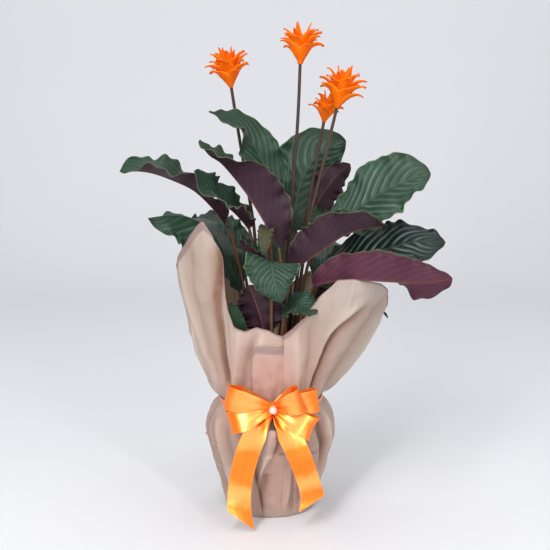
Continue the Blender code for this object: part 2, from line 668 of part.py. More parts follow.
def bract(name, turn, height, lean, tip_lean, length, width, look):
    """One pointed bract that curves outwards, with its root inside the core."""
    outward = Vector((math.cos(turn), math.sin(turn), 0))
    across = Vector((-math.sin(turn), math.cos(turn), 0))
    steps = 3
    point = outward * (core_radius(height) - BRACT_SINK) + Vector((0, 0, height))
    tops = []
    bottoms = []
    for step in range(steps + 1):
        share = step / steps
        angle = math.radians(lean + (tip_lean - lean) * share)
        along = outward * math.sin(angle) + Vector((0, 0, math.cos(angle)))
        normal = outward * math.cos(angle) - Vector((0, 0, math.sin(angle)))
        half = max(width / 2 * math.sin(math.pi * min(0.18 + 0.82 * share, 0.99)) ** 0.8, 0.3)
        row = []
        for side in (-1, 1):
            row.append(point + across * side * half)
        tops.append([place - normal * BRACT / 2 for place in row])
        bottoms.append([place + normal * BRACT / 2 for place in row])
        point = point + along * length / steps
    return closed_sheet(name, tops, bottoms, look)


def make_flower_head(spec, index, look):
    """Orange head: a narrow core with tiers of bracts sunk into it, joined as one body."""
    rng = random.Random(SEED * 10 + index)
    core = turned("flower_head_" + spec["name"], [(0, CORE[0][1])] + CORE + [(0, CORE[-1][1])], 8, look)
    pieces = []
    for tier, (count, height, lean, tip_lean, length, width) in enumerate(BRACT_TIERS):
        for place in range(count):
            turn = math.tau * (place + 0.5 * (tier % 2)) / count + rng.uniform(-0.15, 0.15)
            pieces.append(bract("bract", turn, height + rng.uniform(-1, 1), lean + rng.uniform(-5, 5),
                                tip_lean + rng.uniform(-8, 8), length * rng.uniform(0.92, 1.06), width, look))
    head = fuse(core, pieces)
    aim = (Vector(spec["foot"]) - Vector(spec["stem"][-1])).normalized()
    tilt = Vector((0, 0, 1)).rotation_difference(aim).to_matrix().to_4x4()
    turn = Matrix.Rotation(math.radians(spec["turn"]), 4, "Z")
    head.data.transform(Matrix.Translation(Vector(spec["foot"]) * MM) @ tilt @ turn
                        @ Matrix.Scale(spec["size"], 4))
    return head


def main():
    """Build every piece of the wrapped plant."""
    for old in list(bpy.data.objects):
        bpy.data.objects.remove(old)
    make_pot()
    make_soil()
    make_wrap()
    make_tie()
    make_bow()
    make_bead()
    leaf_look = material("leaf", (0.03, 0.12, 0.06), 0.45)
    stem_look = material("stem", (0.18, 0.11, 0.06), 0.6)
    bract_look = material("bract", (1.0, 0.28, 0.01), 0.5)
    for index, spec in enumerate(LEAVES):
        make_leaf(spec, index, leaf_look)
    for index, spec in enumerate(FLOWERS):
        make_flower_stem(spec, stem_look)
        make_flower_head(spec, index, bract_look)


main()
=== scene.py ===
import math
import random

import bmesh
import bpy
from mathutils import Matrix, Vector, noise


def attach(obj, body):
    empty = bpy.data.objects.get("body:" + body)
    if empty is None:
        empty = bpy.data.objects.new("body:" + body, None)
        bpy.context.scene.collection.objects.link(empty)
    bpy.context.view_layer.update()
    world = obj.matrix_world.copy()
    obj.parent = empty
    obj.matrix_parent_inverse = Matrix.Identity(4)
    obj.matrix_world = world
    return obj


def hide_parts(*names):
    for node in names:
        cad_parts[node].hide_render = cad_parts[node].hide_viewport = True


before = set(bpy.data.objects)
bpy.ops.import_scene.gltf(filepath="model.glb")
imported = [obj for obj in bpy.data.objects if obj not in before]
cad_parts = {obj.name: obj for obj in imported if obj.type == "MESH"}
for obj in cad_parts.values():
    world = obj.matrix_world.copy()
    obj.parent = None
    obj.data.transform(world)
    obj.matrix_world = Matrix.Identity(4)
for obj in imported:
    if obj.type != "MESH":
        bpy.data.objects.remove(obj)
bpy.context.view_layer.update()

bl_info = {
    "name": "Gift-wrapped prayer plant",
    "version": (1, 0, 0),
    "blender": (4, 5, 0),
    "location": "View3D > Sidebar > Plant",
    "description": "Models a flowering prayer plant in a pot, wrapped in film and tied with a satin bow",
    "category": "Add Mesh",
}

# The tables below are in millimetres, with the origin under the middle of the pot, +Z up and the bow at -Y.
# MM turns them into metres where a mesh is made.

MM = 0.001
SEED = 7
MERGE = 1e-7
SHARP_ANGLE = 60
PATH_STEPS = 24

# Pot and soil

POT_BOTTOM = 1.1
POT_TOP = 105.1
POT_TOP_RADIUS = 58.0
POT_NECK_RADIUS = 57.0
POT_BASE_RADIUS = 42.0
POT_WALL = 1.6
POT_RIM_DROP = 9.0
POT_RIM_OUT = 1.8
POT_FLOOR = 2.0
SOIL_TOP = 93.0
SOIL_CROWN = 3.0
SOIL_GAP = 0.5
SOIL_RINGS = 30
STEM_DEPTH = 12.0
CRUMBS = 420
CRUMB_SIZES = (0.7, 2.2)

# Wrap film: (radius, height) of the body up to the waist

WRAP_BODY = [
    (45, 0), (50, 4), (57.5, 32), (65.5, 62), (71.5, 86), (71.5, 104), (65, 117), (56.9, 126), (57.4, 131),
]
WRAP_FOOT = 45.0
WAIST_HEIGHT = 126.0
WRAP_RIM = [
    # (degrees from the front towards +X, radius, height, bulge of the flare)
    (12, 63, 206, 1.0), (20, 68, 214, 1.0), (30, 74, 228, 0.98), (40, 82, 250, 0.95), (50, 92, 266, 0.92),
    (59, 102, 266, 0.9), (68, 113, 262, 0.82), (78, 123, 257, 0.72), (87, 130, 247, 0.68),
    (94, 131, 228, 0.7), (102, 123, 209, 0.7), (113, 110, 200, 0.8), (126, 100, 212, 0.85),
    (138, 93, 238, 0.85), (149, 89, 258, 0.85), (160, 83, 246, 0.9), (173, 79, 231, 0.9),
    (186, 78, 226, 0.9), (198, 79, 230, 0.9), (210, 81, 248, 0.85), (221, 85, 266, 0.8),
    (232, 90, 266, 0.75), (244, 95, 254, 0.7), (256, 98, 244, 0.65), (268, 100, 252, 0.6),
    (279, 104, 276, 0.55), (289, 104, 291, 0.55), (299, 100, 308, 0.6), (307, 96, 324, 0.66),
    (311, 94, 329, 0.7), (315, 84, 312, 0.8), (319, 77, 276, 0.85), (321.5, 73, 236, 0.9),
    (325, 68, 215, 0.95), (336, 66, 211, 1.0), (347, 65, 216, 1.0), (358, 64, 213, 1.0),
    (366, 63, 208, 1.0),
]
# Mesh of the film, where its ends lap over each other in degrees, its crumples, and how strongly depth paints
# shade and highlight
FILM = 0.5
WRAP_COLUMNS = 360
WRAP_BASE_RINGS = 6
WRAP_BODY_ROWS = 64
WRAP_COLLAR_ROWS = 64
OVERLAP_START = 12.6
OVERLAP_TURN = 16.0
OVERLAP_LIFT = 2.0
OVERLAP_TUCK = 0.9
CRUMPLE = 1.3
DEPTH_SHADE = 0.13

# Gathers at the waist: (share of their depth, count round the waist, phase, drift with height), and how far
# they reach. The film lies flat for TIE_CLEARANCE above and below the tie.
GATHERS = [(0.55, 17, 1.0, 0.02), (0.35, 29, 2.2, 0.0), (0.3, 43, 0.4, -0.03)]
GATHERS_ABOVE = 26.0
GATHERS_BELOW = 15.0
TIE_CLEARANCE = 7.0

# Free edges and sharp folds: drop beside the line, how far it runs out in degrees, and the line as
# (degrees, height). A negative run-out goes to the left. A line that crosses the front counts on past 360.
LAP_FADE = 10.0
LAP_STEP = 1.8
LAP_TAIL = 3.0
WRAP_LAPS = [
    (-4.6, 9.0, [(316.2, 312), (315.0, 285), (312.8, 266), (311.3, 251), (310.6, 231), (310.7, 193),
                 (310.1, 148)]),
    (-4.2, -6.0, [(62.0, 206), (57.0, 190), (52.0, 168), (48.4, 145)]),
    (-2.6, -7.0, [(344.0, 196), (343.0, 180), (342.4, 146)]),
    (-2.4, 10.0, [(364.0, 112), (366.0, 92), (362.0, 76), (353.0, 58), (347.0, 38)]),
    (-2.6, 9.0, [(340.0, 96), (342.0, 70), (345.0, 40), (349.0, 8)]),
    (-3.4, 8.0, [(40.0, 110), (46.0, 90), (52.0, 74), (54.0, 52)]),
    (2.6, -6.0, [(291.0, 206), (288.0, 186), (290.0, 166)]),
    (-2.6, 10.0, [(296.0, 112), (300.0, 80), (300.0, 40), (304.0, 8)]),
    (-2.6, -8.0, [(26.0, 100), (24.0, 66), (26.0, 38), (30.0, 8)]),
]
# Folds of the film: depth towards the outside, width in degrees, and the line as (degrees, height).
# The two lines that pass from 357 to 5 and from 356 to 4 are read the long way round, which leaves small
# marks round the body.
FOLD_DEPTH = 1.6
FOLD_NARROWING = 1.25
FOLD_CREST = 1.1
FOLD_FADE = 12.0
FOLD_REACH = 40.0
WRAP_FOLDS = [
    (-5.0, 5.0, [(74, 232), (58, 204), (50, 160), (47, 140)]),
    (2.6, 6.0, [(66, 236), (52, 204), (44, 160), (41, 140)]),
    (-3.0, 4.0, [(316, 296), (312.5, 254), (310, 231), (311.5, 205), (313, 150)]),
    (1.8, 5.0, [(322, 280), (318, 240), (317, 205), (318, 150)]),
    (-1.8, 5.0, [(346, 206), (335, 176), (329, 150), (326, 138)]),
    (1.6, 7.0, [(330, 214), (326, 178), (321, 150)]),
    (2.0, 7.0, [(352, 208), (346, 182), (341, 150)]),
    (1.7, 6.0, [(24, 206), (27, 170), (31, 140)]),
    (-1.7, 7.0, [(36, 222), (38, 180), (37, 140)]),
    (2.4, 3.5, [(5, 100), (357, 76), (351, 56), (346, 36)]),
    (-1.8, 5.0, [(11, 98), (4, 78), (356, 54), (351, 30)]),
    (-1.8, 4.0, [(343, 84), (343, 58), (347, 30), (350, 10)]),
    (1.7, 5.0, [(18, 112), (19, 82), (20, 50), (19, 14)]),
    (-2.0, 6.0, [(31, 100), (30, 70), (33, 40), (36, 16)]),
    (-4.0, 4.5, [(48, 116), (50, 96), (56, 82), (58, 64)]),
    (2.2, 5.0, [(60, 118), (63, 96), (66, 74), (62, 40)]),
    (-2.0, 6.0, [(318, 112), (320, 84), (324, 48), (328, 16)]),
    (2.0, 8.0, [(306, 116), (308, 90), (312, 50), (318, 10)]),
    (-2.2, 7.0, [(288, 114), (284, 92), (290, 52), (298, 12)]),
    (-1.6, 5.0, [(300, 300), (297, 250), (300, 200), (304, 150)]),
    (1.6, 6.0, [(288, 286), (290, 240), (296, 190), (302, 146)]),
    (-2.4, 6.0, [(262, 110), (258, 80), (262, 44), (266, 10)]),
    (2.2, 7.0, [(244, 112), (240, 84), (238, 48), (240, 10)]),
    (-2.4, 6.0, [(222, 112), (218, 84), (222, 44), (226, 10)]),
    (2.0, 6.0, [(200, 112), (204, 84), (200, 44), (198, 10)]),
    (-2.4, 6.0, [(180, 112), (176, 84), (180, 44), (182, 10)]),
    (2.2, 7.0, [(160, 112), (156, 84), (158, 48), (160, 10)]),
    (-2.4, 6.0, [(138, 112), (142, 80), (138, 44), (134, 10)]),
    (2.2, 7.0, [(116, 112), (112, 84), (116, 48), (118, 10)]),
    (-2.2, 6.0, [(92, 112), (96, 84), (92, 44), (90, 10)]),
    (-3.0, 7.0, [(256, 240), (256, 200), (262, 160), (266, 140)]),
    (3.0, 8.0, [(236, 262), (232, 220), (232, 180), (234, 144)]),
    (-3.0, 7.0, [(206, 226), (206, 196), (210, 160), (212, 140)]),
    (3.0, 8.0, [(184, 222), (184, 196), (186, 164), (188, 144)]),
    (-3.0, 7.0, [(166, 232), (166, 200), (164, 160), (162, 140)]),
    (3.0, 8.0, [(146, 250), (146, 210), (142, 170), (140, 144)]),
    (-3.0, 7.0, [(122, 208), (120, 186), (118, 160), (116, 140)]),
    (3.0, 8.0, [(98, 214), (96, 190), (92, 160), (90, 144)]),
    (-2.0, 6.0, [(86, 240), (78, 200), (72, 165), (68, 140)]),
]

# Tongue of the film in front: its two sides in degrees and its top edge
TONGUE_LEFT = -17.5
TONGUE_RIGHT = 14.0
TONGUE_TOP = 197.0
TONGUE_FOOT = 6.0
TONGUE_COLUMNS = 40
TONGUE_ROWS = 48

# Border band of the film along its rim: (degrees, width)
BAND_WIDTHS = [
    (0, 1.7), (10, 1.7), (14, 5.0), (30, 5.0), (40, 1.2), (66, 0.8), (86, 1.6), (96, 5.5), (200, 5.5),
    (276, 5.5), (288, 8.5), (311, 9.5), (315, 2.6), (319, 1.7), (360, 1.7),
]

# Tie and bow

TIE_RADIUS = 58.2
TIE_WIDTH = 4.0
TIE_STEPS = 160
RIBBON = 25.0
RIBBON_THICKNESS = 0.7
RIBBON_PINCH = 9.0
RIBBON_SHARES = [-0.5, -0.46, -0.35, -0.22, -0.1, 0.0, 0.1, 0.22, 0.35, 0.46, 0.5]
KNOT = (3.0, -67.5, 130.0)
KNOT_SIZE = (5.6, 8.3, 6.4)
LOOP_ROOT = (3.0, -69.0, 130.0)
BOW_STEPS = 56
BEAD = (3.0, -80.4, 130.0)
BEAD_RADIUS = 4.2

# Each loop: far point, puff towards the front, roll of the ribbon about its run in degrees, width far out
BOW_LOOPS = [
    ((-47, -64, 142), 15.0, -8.0, 26.0),
    ((-43, -66, 114), 13.0, 24.0, 24.0),
    ((34, -70, 142), 20.0, 14.0, 27.0),
    ((51, -60, 137), 9.0, 4.0, 25.0),
    ((45, -72, 109), 14.0, -30.0, 25.0),
]
# Each tail: centre line from the knot down, roll of the ribbon at its end in degrees, slant of the cut end
BOW_TAILS = [
    ([(0, -66, 124), (-14, -76, 106), (-24, -81, 84), (-31, -84, 56), (-33, -87, 32), (-31, -91, 13)],
     12.0, 12.0),
    ([(6, -66, 122), (20, -77, 102), (31, -81, 80), (39, -81, 58), (44, -81, 40), (44, -82, 28)],
     -14.0, -11.0),
]

# Leaves: root in the soil, neck where the blade starts, then the rib of the blade to its tip.
# face gives the direction of the upper side from base to tip.
# left and right give how far each half folds towards that side, in degrees, at base, middle and tip.
# wave is the height of the margin's broad waves. A larger belly puts a half's widest place nearer the tip,
# and a taper makes the blade narrower towards its tip.
# RIB_ values shape the midrib, VEIN_ values the side veins, and SHEATH swells the stalk low down.
# STALK_SPREAD is how far each half of a stalk's round section reaches, in degrees.

STALK_RADIUS = 2.1
NECK_RADIUS = 1.7
BLADE = 0.8
RIB_DEPTH = 1.3
RIB_GROOVE = 0.35
RIB_WIDTH = 1.6
BELLY = 0.86
SHEATH = 0.28
STALK_SPREAD = 88.0
BLADE_COLUMNS = 28
BLADE_ROWS = 76
STALK_ROWS = 20
VEINS = 11.0
VEIN_LEAN = 4.0
VEIN_BEND = 1.2
VEIN_RELIEF = 0.28
LEAVES = [
    dict(name="leaf_left_far", root=(-14, 0), neck=(-46, -6, 317), width=66,
         rib=[(-62, -10, 338), (-81, -16, 357), (-102, -20, 368), (-131, -26, 378), (-161, -30, 379)],
         face=[(0.3, 0, 1), (0, 0, 1)], left=(20, 22, 10), right=(20, 30, 50), wave=4.6, right_belly=1.2),
    dict(name="leaf_left_near", root=(-12, -11), neck=(-23, -28, 318), width=58,
         rib=[(-35, -36, 333), (-50, -44, 347), (-65, -54, 364), (-79, -62, 381)],
         face=[(0.7, -0.1, 0.7), (0.3, -0.3, 0.9)], left=(50, 20, -30), right=(35, 22, 26), wave=3.2),
    dict(name="leaf_left_tall", root=(8, -14), neck=(9, -34, 298), width=74,
         rib=[(-6, -42, 326), (-25, -50, 357), (-49, -57, 387), (-64, -60, 398), (-73, -60, 413)],
         face=[(0.58, 0.71, 0.4), (0.5, 0.5, 0.6), (0.3, -0.4, 0.85)], left=(45, 45, 10), right=(60, 60, 5),
         wave=3.6, right_belly=0.7, left_belly=0.8),
    dict(name="leaf_back_left", root=(3, 12), neck=(20, 18, 321), width=51,
         rib=[(9, 16, 352), (-7, 11, 384), (-28, 3, 420), (-47, -8, 434), (-66, -18, 442)],
         face=[(-0.1, -0.8, 0.5), (0, -0.5, 0.85)], left=(20, 25, 15), right=(15, 12, 10), wave=3.8,
         right_belly=1.0),
    dict(name="leaf_back_sliver", root=(8, 24), neck=(18, 30, 318), width=26,
         rib=[(15, 31, 342), (12, 31, 370), (10, 31, 402)],
         face=[(0.6, -0.7, 0), (0.6, -0.7, 0)], left=(40, 40, 20), right=(40, 40, 20), wave=1.0),
    dict(name="leaf_back_tall", root=(18, 22), neck=(26, 44, 308), width=84,
         rib=[(29, 52, 338), (37, 58, 368), (55, 60, 395), (86, 54, 410)],
         face=[(0, -1, 0.1), (0.1, -0.9, 0.4)], left=(12, 10, 5), right=(0, -36, -20), wave=4.0),
    dict(name="leaf_back_right", root=(24, 34), neck=(43, 64, 308), width=44,
         rib=[(50, 62, 330), (60, 60, 349), (74, 58, 368), (91, 56, 384)],
         face=[(0, 0.9, 0.3), (0, 0.9, 0.3)], left=(20, 20, 10), right=(20, 20, 10), wave=2.5),
    dict(name="leaf_right_high", root=(25, 7), neck=(57, 8, 315), width=85,
         rib=[(74, 5, 324), (100, 1, 340), (133, -5, 361), (157, -9, 371), (174, -12, 376)],
         face=[(-0.3, -0.72, 0.62), (-0.3, -0.72, 0.62)], left=(12, 10, 8), right=(12, 10, 5), wave=2.8,
         left_belly=1.5),
    dict(name="leaf_right_dark", root=(19, -20), neck=(24, -36, 272), width=66,
         rib=[(36, -42, 283), (54, -49, 296), (84, -55, 316), (123, -53, 323)],
         face=[(-0.3, 0, 0.95), (-0.1, 0, 1)], left=(62, 60, 45), right=(75, 72, 40), wave=3.6),
    dict(name="leaf_front_droop", root=(1, -41), neck=(1, -47, 277), width=62,
         rib=[(1, -56, 285), (2, -64, 279), (5, -70, 264), (12, -74, 244)],
         face=[(0, -0.3, 0.95), (0, -1, 0.3), (0, -1, 0.1)], left=(-14, -10, 0), right=(34, 12, 0),
         wave=2.4, taper=0.8),
    dict(name="leaf_right_low", root=(33, -3), neck=(60, 2, 269), width=76,
         rib=[(82, -1, 277), (112, -5, 288), (150, -11, 300), (172, -14, 302), (191, -15, 301)],
         face=[(-0.1, -0.5, 0.87), (-0.05, -0.5, 0.87)], left=(12, 15, 5), right=(8, 2, -12), wave=3.0,
         right_belly=1.3),
    dict(name="leaf_right_front", root=(29, -14), neck=(47, -30, 255), width=68,
         rib=[(62, -38, 260), (85, -46, 264), (133, -56, 263), (165, -60, 263), (192, -61, 268)],
         face=[(0, 0.95, 0.3), (0, 0.95, 0.3)], left=(84, 82, -10), right=(4, 8, 10), wave=3.4,
         left_belly=1.2),
    dict(name="leaf_left_dark", root=(-4, -19), neck=(-4, -26, 260), width=32,
         rib=[(-11, -30, 270), (-21, -34, 285), (-29, -37, 299), (-34, -39, 314)],
         face=[(0.5, 0.1, 0.85), (0.5, -0.1, 0.85)], left=(60, 55, 20), right=(75, 75, 30), wave=2.0),
    dict(name="leaf_center_young", root=(1, -8), neck=(0, -30, 306), width=18,
         rib=[(-3, -42, 318), (-5, -50, 314), (-6, -56, 294)],
         face=[(0, -0.2, 1), (-0.1, -0.9, 0.2)], left=(15, 20, 10), right=(15, 20, 10), wave=0.6),
    dict(name="leaf_left_low", root=(-24, -10), neck=(-34, -12, 246), width=76,
         rib=[(-42, -13, 271), (-55, -15, 298), (-72, -18, 320), (-98, -24, 331), (-131, -34, 329)],
         face=[(0.45, -0.4, 0.8), (0, 0, 1)], left=(5, -46, -58), right=(4, -4, -14), wave=3.4,
         left_belly=1.3, right_belly=0.7),
    dict(name="leaf_collar_right", root=(12, -37), neck=(15, -45, 224), width=42,
         rib=[(22, -51, 235), (33, -59, 239), (49, -67, 231)],
         face=[(-0.3, -0.4, 0.85), (0.3, -0.6, 0.75)], left=(10, 10, 5), right=(10, 10, 5), wave=2.2),
    dict(name="leaf_collar_mid", root=(-7, -29), neck=(-6, -33, 203), width=54,
         rib=[(-10, -34, 219), (-16, -35, 238), (-23, -35, 257)],
         face=[(0.1, 1, 0.1), (0.1, 1, 0.1)], left=(5, 8, 5), right=(25, 25, 15), wave=2.4),
    dict(name="leaf_collar_left", root=(-17, -24), neck=(-31, -43, 201), width=16,
         rib=[(-34, -46, 214), (-38, -48, 228), (-43, -49, 240)],
         face=[(0.2, -0.9, 0.3), (0.2, -0.9, 0.3)], left=(20, 20, 10), right=(20, 20, 10), wave=0.8),
    dict(name="leaf_right_under", root=(36, 9), neck=(44, 16, 228), width=38,
         rib=[(60, 22, 240), (82, 28, 243), (110, 31, 233), (134, 29, 209)],
         face=[(-0.3, 0, 0.95), (0.3, 0, 0.95)], left=(40, 35, 20), right=(40, 35, 20), wave=1.8),
    dict(name="leaf_rear_left", root=(-16, 16), neck=(-30, 37, 262), width=56,
         rib=[(-43, 45, 286), (-60, 54, 306), (-79, 64, 318), (-96, 75, 318)],
         face=[(0.4, -0.4, 0.8), (0, 0, 1)], left=(25, 20, 10), right=(40, 38, 15), wave=3.0),
    dict(name="leaf_rear_mid", root=(-2, 28), neck=(4, 48, 250), width=50,
         rib=[(7, 58, 276), (9, 76, 298), (11, 96, 308), (12, 116, 304)],
         face=[(0, -0.7, 0.7), (0, 0.2, 1)], left=(20, 18, 10), right=(20, 18, 10), wave=3.0),
    dict(name="leaf_rear_right", root=(34, 24), neck=(54, 42, 252), width=60,
         rib=[(66, 52, 268), (82, 66, 280), (102, 82, 284), (120, 96, 276)],
         face=[(-0.5, -0.3, 0.8), (0.1, 0.1, 1)], left=(25, 20, 5), right=(25, 20, 5), wave=3.0),
]
# Finishes of the leaves that differ from the rest
LEAF_TOPS = {"leaf_right_high": "bright", "leaf_right_low": "striped", "leaf_center_young": "young"}
LEAF_BACKS = {"leaf_right_front": "bright"}

# Flowers: root in the soil, points of the stem, foot of the head, size and turn of the head

FLOWERS = [
    dict(name="left", root=(-6, 6), stem=[(-19, 14, 320), (-33, 20, 404)], foot=(-43, 16, 469), size=1.0,
         turn=20),
    dict(name="tall", root=(9, -3), stem=[(23, -13, 347), (29, -10, 423)], foot=(32, -8, 493), size=1.0,
         turn=0),
    dict(name="front", root=(18, -5), stem=[(45, -8, 336), (61, -6, 401)], foot=(72, -6, 447), size=1.02,
         turn=70),
    dict(name="behind", root=(14, 9), stem=[(38, 14, 317), (50, 16, 384)], foot=(59, 20, 431), size=0.78,
         turn=45),
]
FLOWER_STEM_RADIUS = 2.0
FLOWER_STEM_TOP = 1.7
CORE = [(1.9, 0), (2.6, 3), (4.4, 8), (6.4, 13), (7.2, 18), (6.2, 24), (3.2, 29), (1.2, 31)]
BRACT_STEPS = 18
BRACT_SHARES = [-1, -0.75, -0.5, -0.25, 0, 0.25, 0.5, 0.75, 1]
BRACT_THICKNESS = 0.9
BRACT_BEND = 2.8
BRACT_POINT = 0.78
BRACT_FOOT_WIDTH = 0.36
# Tiers of bracts: count, height on the core, lean at foot and tip in degrees, length, width
BRACT_TIERS = [
    (5, 0.5, 31, 128, 33, 17.0),
    (5, 4.5, 28, 116, 34, 17.0),
    (5, 9, 22, 100, 31, 16.0),
    (5, 15, 15, 86, 28, 13.5),
    (3, 21, 5, 24, 24, 7.0),
]

# Colours inside the finishes, as 0xRRGGBB

MIDRIB_GREEN = 0x5F7450
LEAF_MARGIN = 0x8CA06A
BACK_MARGIN = 0x5C6A48
YOUNG_GROUND = 0x4C4A34
YOUNG_STRIPE = 0x7C7A58
YOUNG_MARGIN = 0xC6B450
STALK_OLIVE = 0x5C4C34
STEM_LIGHT = 0x4A362A
BRACT_DEEP = 0xF05400
BRACT_FOOT_SHADE = 0xF06400
BRACT_EDGE = 0xFFA224
BRACT_TIP = 0x8A4A1C
BRACT_GLOW = 0xFF9A10
FILM_CLOUD = 0xA89180
FILM_VALLEY_SHADE = 0x8E6A58
FILM_RIDGE_HIGHLIGHT = 0xE6D8CA
FILM_PAINTED_SHEEN = 0xD2C8C6
FILM_LINE = 0xB0706A
FILM_GLOW = 0xE8CDB8
GAP_SHADOW = 0x35222A
SATIN_DEEP = 0xFF7410
SATIN_PAINTED_HIGHLIGHT = 0xFFD478
SATIN_EDGE = 0xFFB050
PEARL_LIGHT = 0xFBE2D6
POT_DUST = 0x5A4C42
SOIL_FIBRE = 0x8C6E50

# Places of the film's painted light in metres: heights of the pot's rim and of the bow, and of a painted
# sheen at the right, and the painted shadow in the gap under the knot

FILM_POT_TOP = 0.098
FILM_BOW = 0.16
FILM_SHEEN_HEIGHT = 0.255
FILM_SHEEN_SIDE = 0.035
GAP_TOP = 0.1245
GAP_FOOT = 0.105
GAP_SIDE = 0.0035
GAP_HALF = 0.0012

# Stage: camera place in metres, how far it looks down in degrees, its focal length in pixels of the frame,
# and the floor that bends up into the backdrop

CAMERA_PLACE = (0.005, -1.2, 0.43)
CAMERA_DIP = 7.92
SENSOR = 36
FOCAL_PIXELS = 1091
FRAME_PIXELS = 550
FLOOR_WIDTH = 8000
FLOOR_FRONT = -2500
FLOOR_BACK = 1500
FLOOR_BEND = 700
BACKDROP = 2500
FLOOR_COLUMNS = 8
FLOOR_ROWS = 48
WORLD_COLOR = (0.93, 0.95, 1.0, 1.0)
WORLD_LIGHT = 0.56
# Lamps in metres: name, place, what it faces, size, power
LAMPS = [
    ("key", (-1.0, -2.0, 1.9), (0.02, 0, 0.22), (0.9, 0.9), 17.5),
    ("fill", (1.9, -1.3, 1.1), (0.0, 0, 0.25), (1.2, 1.2), 6.5),
    ("top", (0.1, 0.5, 2.4), (0, 0, 0.2), (1.8, 1.8), 12),
    ("left strip", (-0.75, -2.1, 1.0), (0, 0, 0.2), (0.16, 2.0), 27),
    ("right strip", (1.0, -2.0, 1.0), (0, 0, 0.2), (0.16, 2.0), 16),
    ("high strip", (-0.35, -1.0, 2.0), (0, 0, 0.2), (0.14, 0.9), 7),
]


def shade(code):
    """Turn a colour written as 0xRRGGBB into the linear colour that shaders take."""
    linear = []
    for shift in (16, 8, 0):
        part = (code >> shift & 255) / 255
        linear.append(part / 12.92 if part <= 0.04045 else ((part + 0.055) / 1.055) ** 2.4)
    return (*linear, 1.0)


# Sizes and colours that a user would change


def color_choice(name, description, code):
    """A colour property."""
    return bpy.props.FloatVectorProperty(
        name=name, description=description, default=shade(code), size=4, min=0, max=1, subtype="COLOR")


def length_choice(name, description, millimetres):
    """A length property."""
    return bpy.props.FloatProperty(name=name, description=description, default=millimetres * MM, min=0,
                                   unit="LENGTH")


class FoliageChoices(bpy.types.PropertyGroup):
    """Sizes and colours of the leaves and flowers."""

    green: color_choice("Leaf green", "Upper side of most leaves", 0x27422F)
    dark_green: color_choice("Dark leaf green", "Ground colour of the strongly striped leaves", 0x10221C)
    stripe: color_choice("Stripes", "Silvery stripes along the side veins", 0x7E9A92)
    purple: color_choice("Underside", "Underside of the leaves", 0x361D2A)
    magenta: color_choice("Bright underside", "Underside of the leaf that faces the front", 0x512637)
    stalk: color_choice("Stalks", "Leaf stalks and midribs", 0x70402F)
    stem: color_choice("Flower stems", "Stems of the flower heads", 0x34251C)
    bract: color_choice("Flower heads", "Bracts of the flower heads", 0xFF8006)
    ruffle: length_choice("Margin ruffle", "Height of the small waves along a leaf's margin", 2.1)


class WrapChoices(bpy.types.PropertyGroup):
    """Sizes and colours of the film, the pot and the soil."""

    film: color_choice("Film", "Wrapping film", 0xB9A99C)
    # Painted tint: the pot seen through the film, and a painted reflection of the ribbon near the bow
    painted_blush: color_choice("Film over the pot", "Film where the pot and ribbon tint it", 0xC4968A)
    band: color_choice("Border", "Band along the film's free edges", 0x8E7A76)
    pot: color_choice("Pot", "Nursery pot", 0x2A2320)
    soil: color_choice("Soil", "Potting mix", 0x3A2A20)
    pleat: length_choice("Gathers", "Depth of the gathers at the waist", 1.5)
    film_thickness: length_choice("Film thickness", "Thickness of the film", FILM)


class BowChoices(bpy.types.PropertyGroup):
    """Sizes and colours of the ribbon and the bead."""

    ribbon: color_choice("Ribbon", "Satin ribbon", 0xFF8420)
    pearl: color_choice("Bead", "Pearl bead on the knot", 0xC08A80)
    thickness: length_choice("Ribbon thickness", "Thickness of the ribbon", RIBBON_THICKNESS)


class StageChoices(bpy.types.PropertyGroup):
    """Colours and light of the plain stage."""

    floor: color_choice("Floor", "Pale floor and backdrop", 0xDEDEE0)
    light: bpy.props.FloatProperty(
        name="Light", description="Strength of the studio lights", default=1.0, min=0)


# Shader maths


def dimmed(color, share):
    """A colour made darker or lighter."""
    return tuple(part * share for part in color[:3]) + (1.0,)


class Value:
    """A socket whose value varies over a surface, so that shader maths reads as plain sums."""

    def __init__(self, finish, socket):
        self.finish = finish
        self.socket = socket

    def maths(self, operation, *values, clamp=False):
        """Add a Math node."""
        settings = {"operation": operation, "use_clamp": clamp}
        return self.finish.node("ShaderNodeMath", settings, dict(enumerate(values)))

    def __add__(self, other):
        return self.maths("ADD", self, other)

    def __sub__(self, other):
        return self.maths("SUBTRACT", self, other)

    def __rsub__(self, other):
        return self.maths("SUBTRACT", other, self)

    def __mul__(self, other):
        return self.maths("MULTIPLY", self, other)

    def __pow__(self, other):
        return self.maths("POWER", self, other)

    __radd__ = __add__
    __rmul__ = __mul__

    def clamped(self):
        """The value kept between 0 and 1."""
        return self.maths("ADD", self, 0.0, clamp=True)

    def size(self):
        """The value without its sign."""
        return self.maths("ABSOLUTE", self)

    def wave(self):
        """Its sine, with one turn for each whole number."""
        return self.maths("SINE", self * math.tau)

    def ramp(self, gain, offset):
        """The value times a gain, less an offset, kept between 0 and 1."""
        return (self * gain - offset).clamped()

    def above(self, edge, rise):
        """0 up to an edge, and a rise to 1 past it."""
        return ((self - edge) * rise).clamped()

    def below(self, edge, fall):
        """1 up to an edge, and a fall to 0 past it."""
        return (1 - (self - edge) * fall).clamped()

    def near(self, middle, fall):
        """1 at a middle value, and a fall to 0 on both sides."""
        return (1 - (self - middle).size() * fall).clamped()


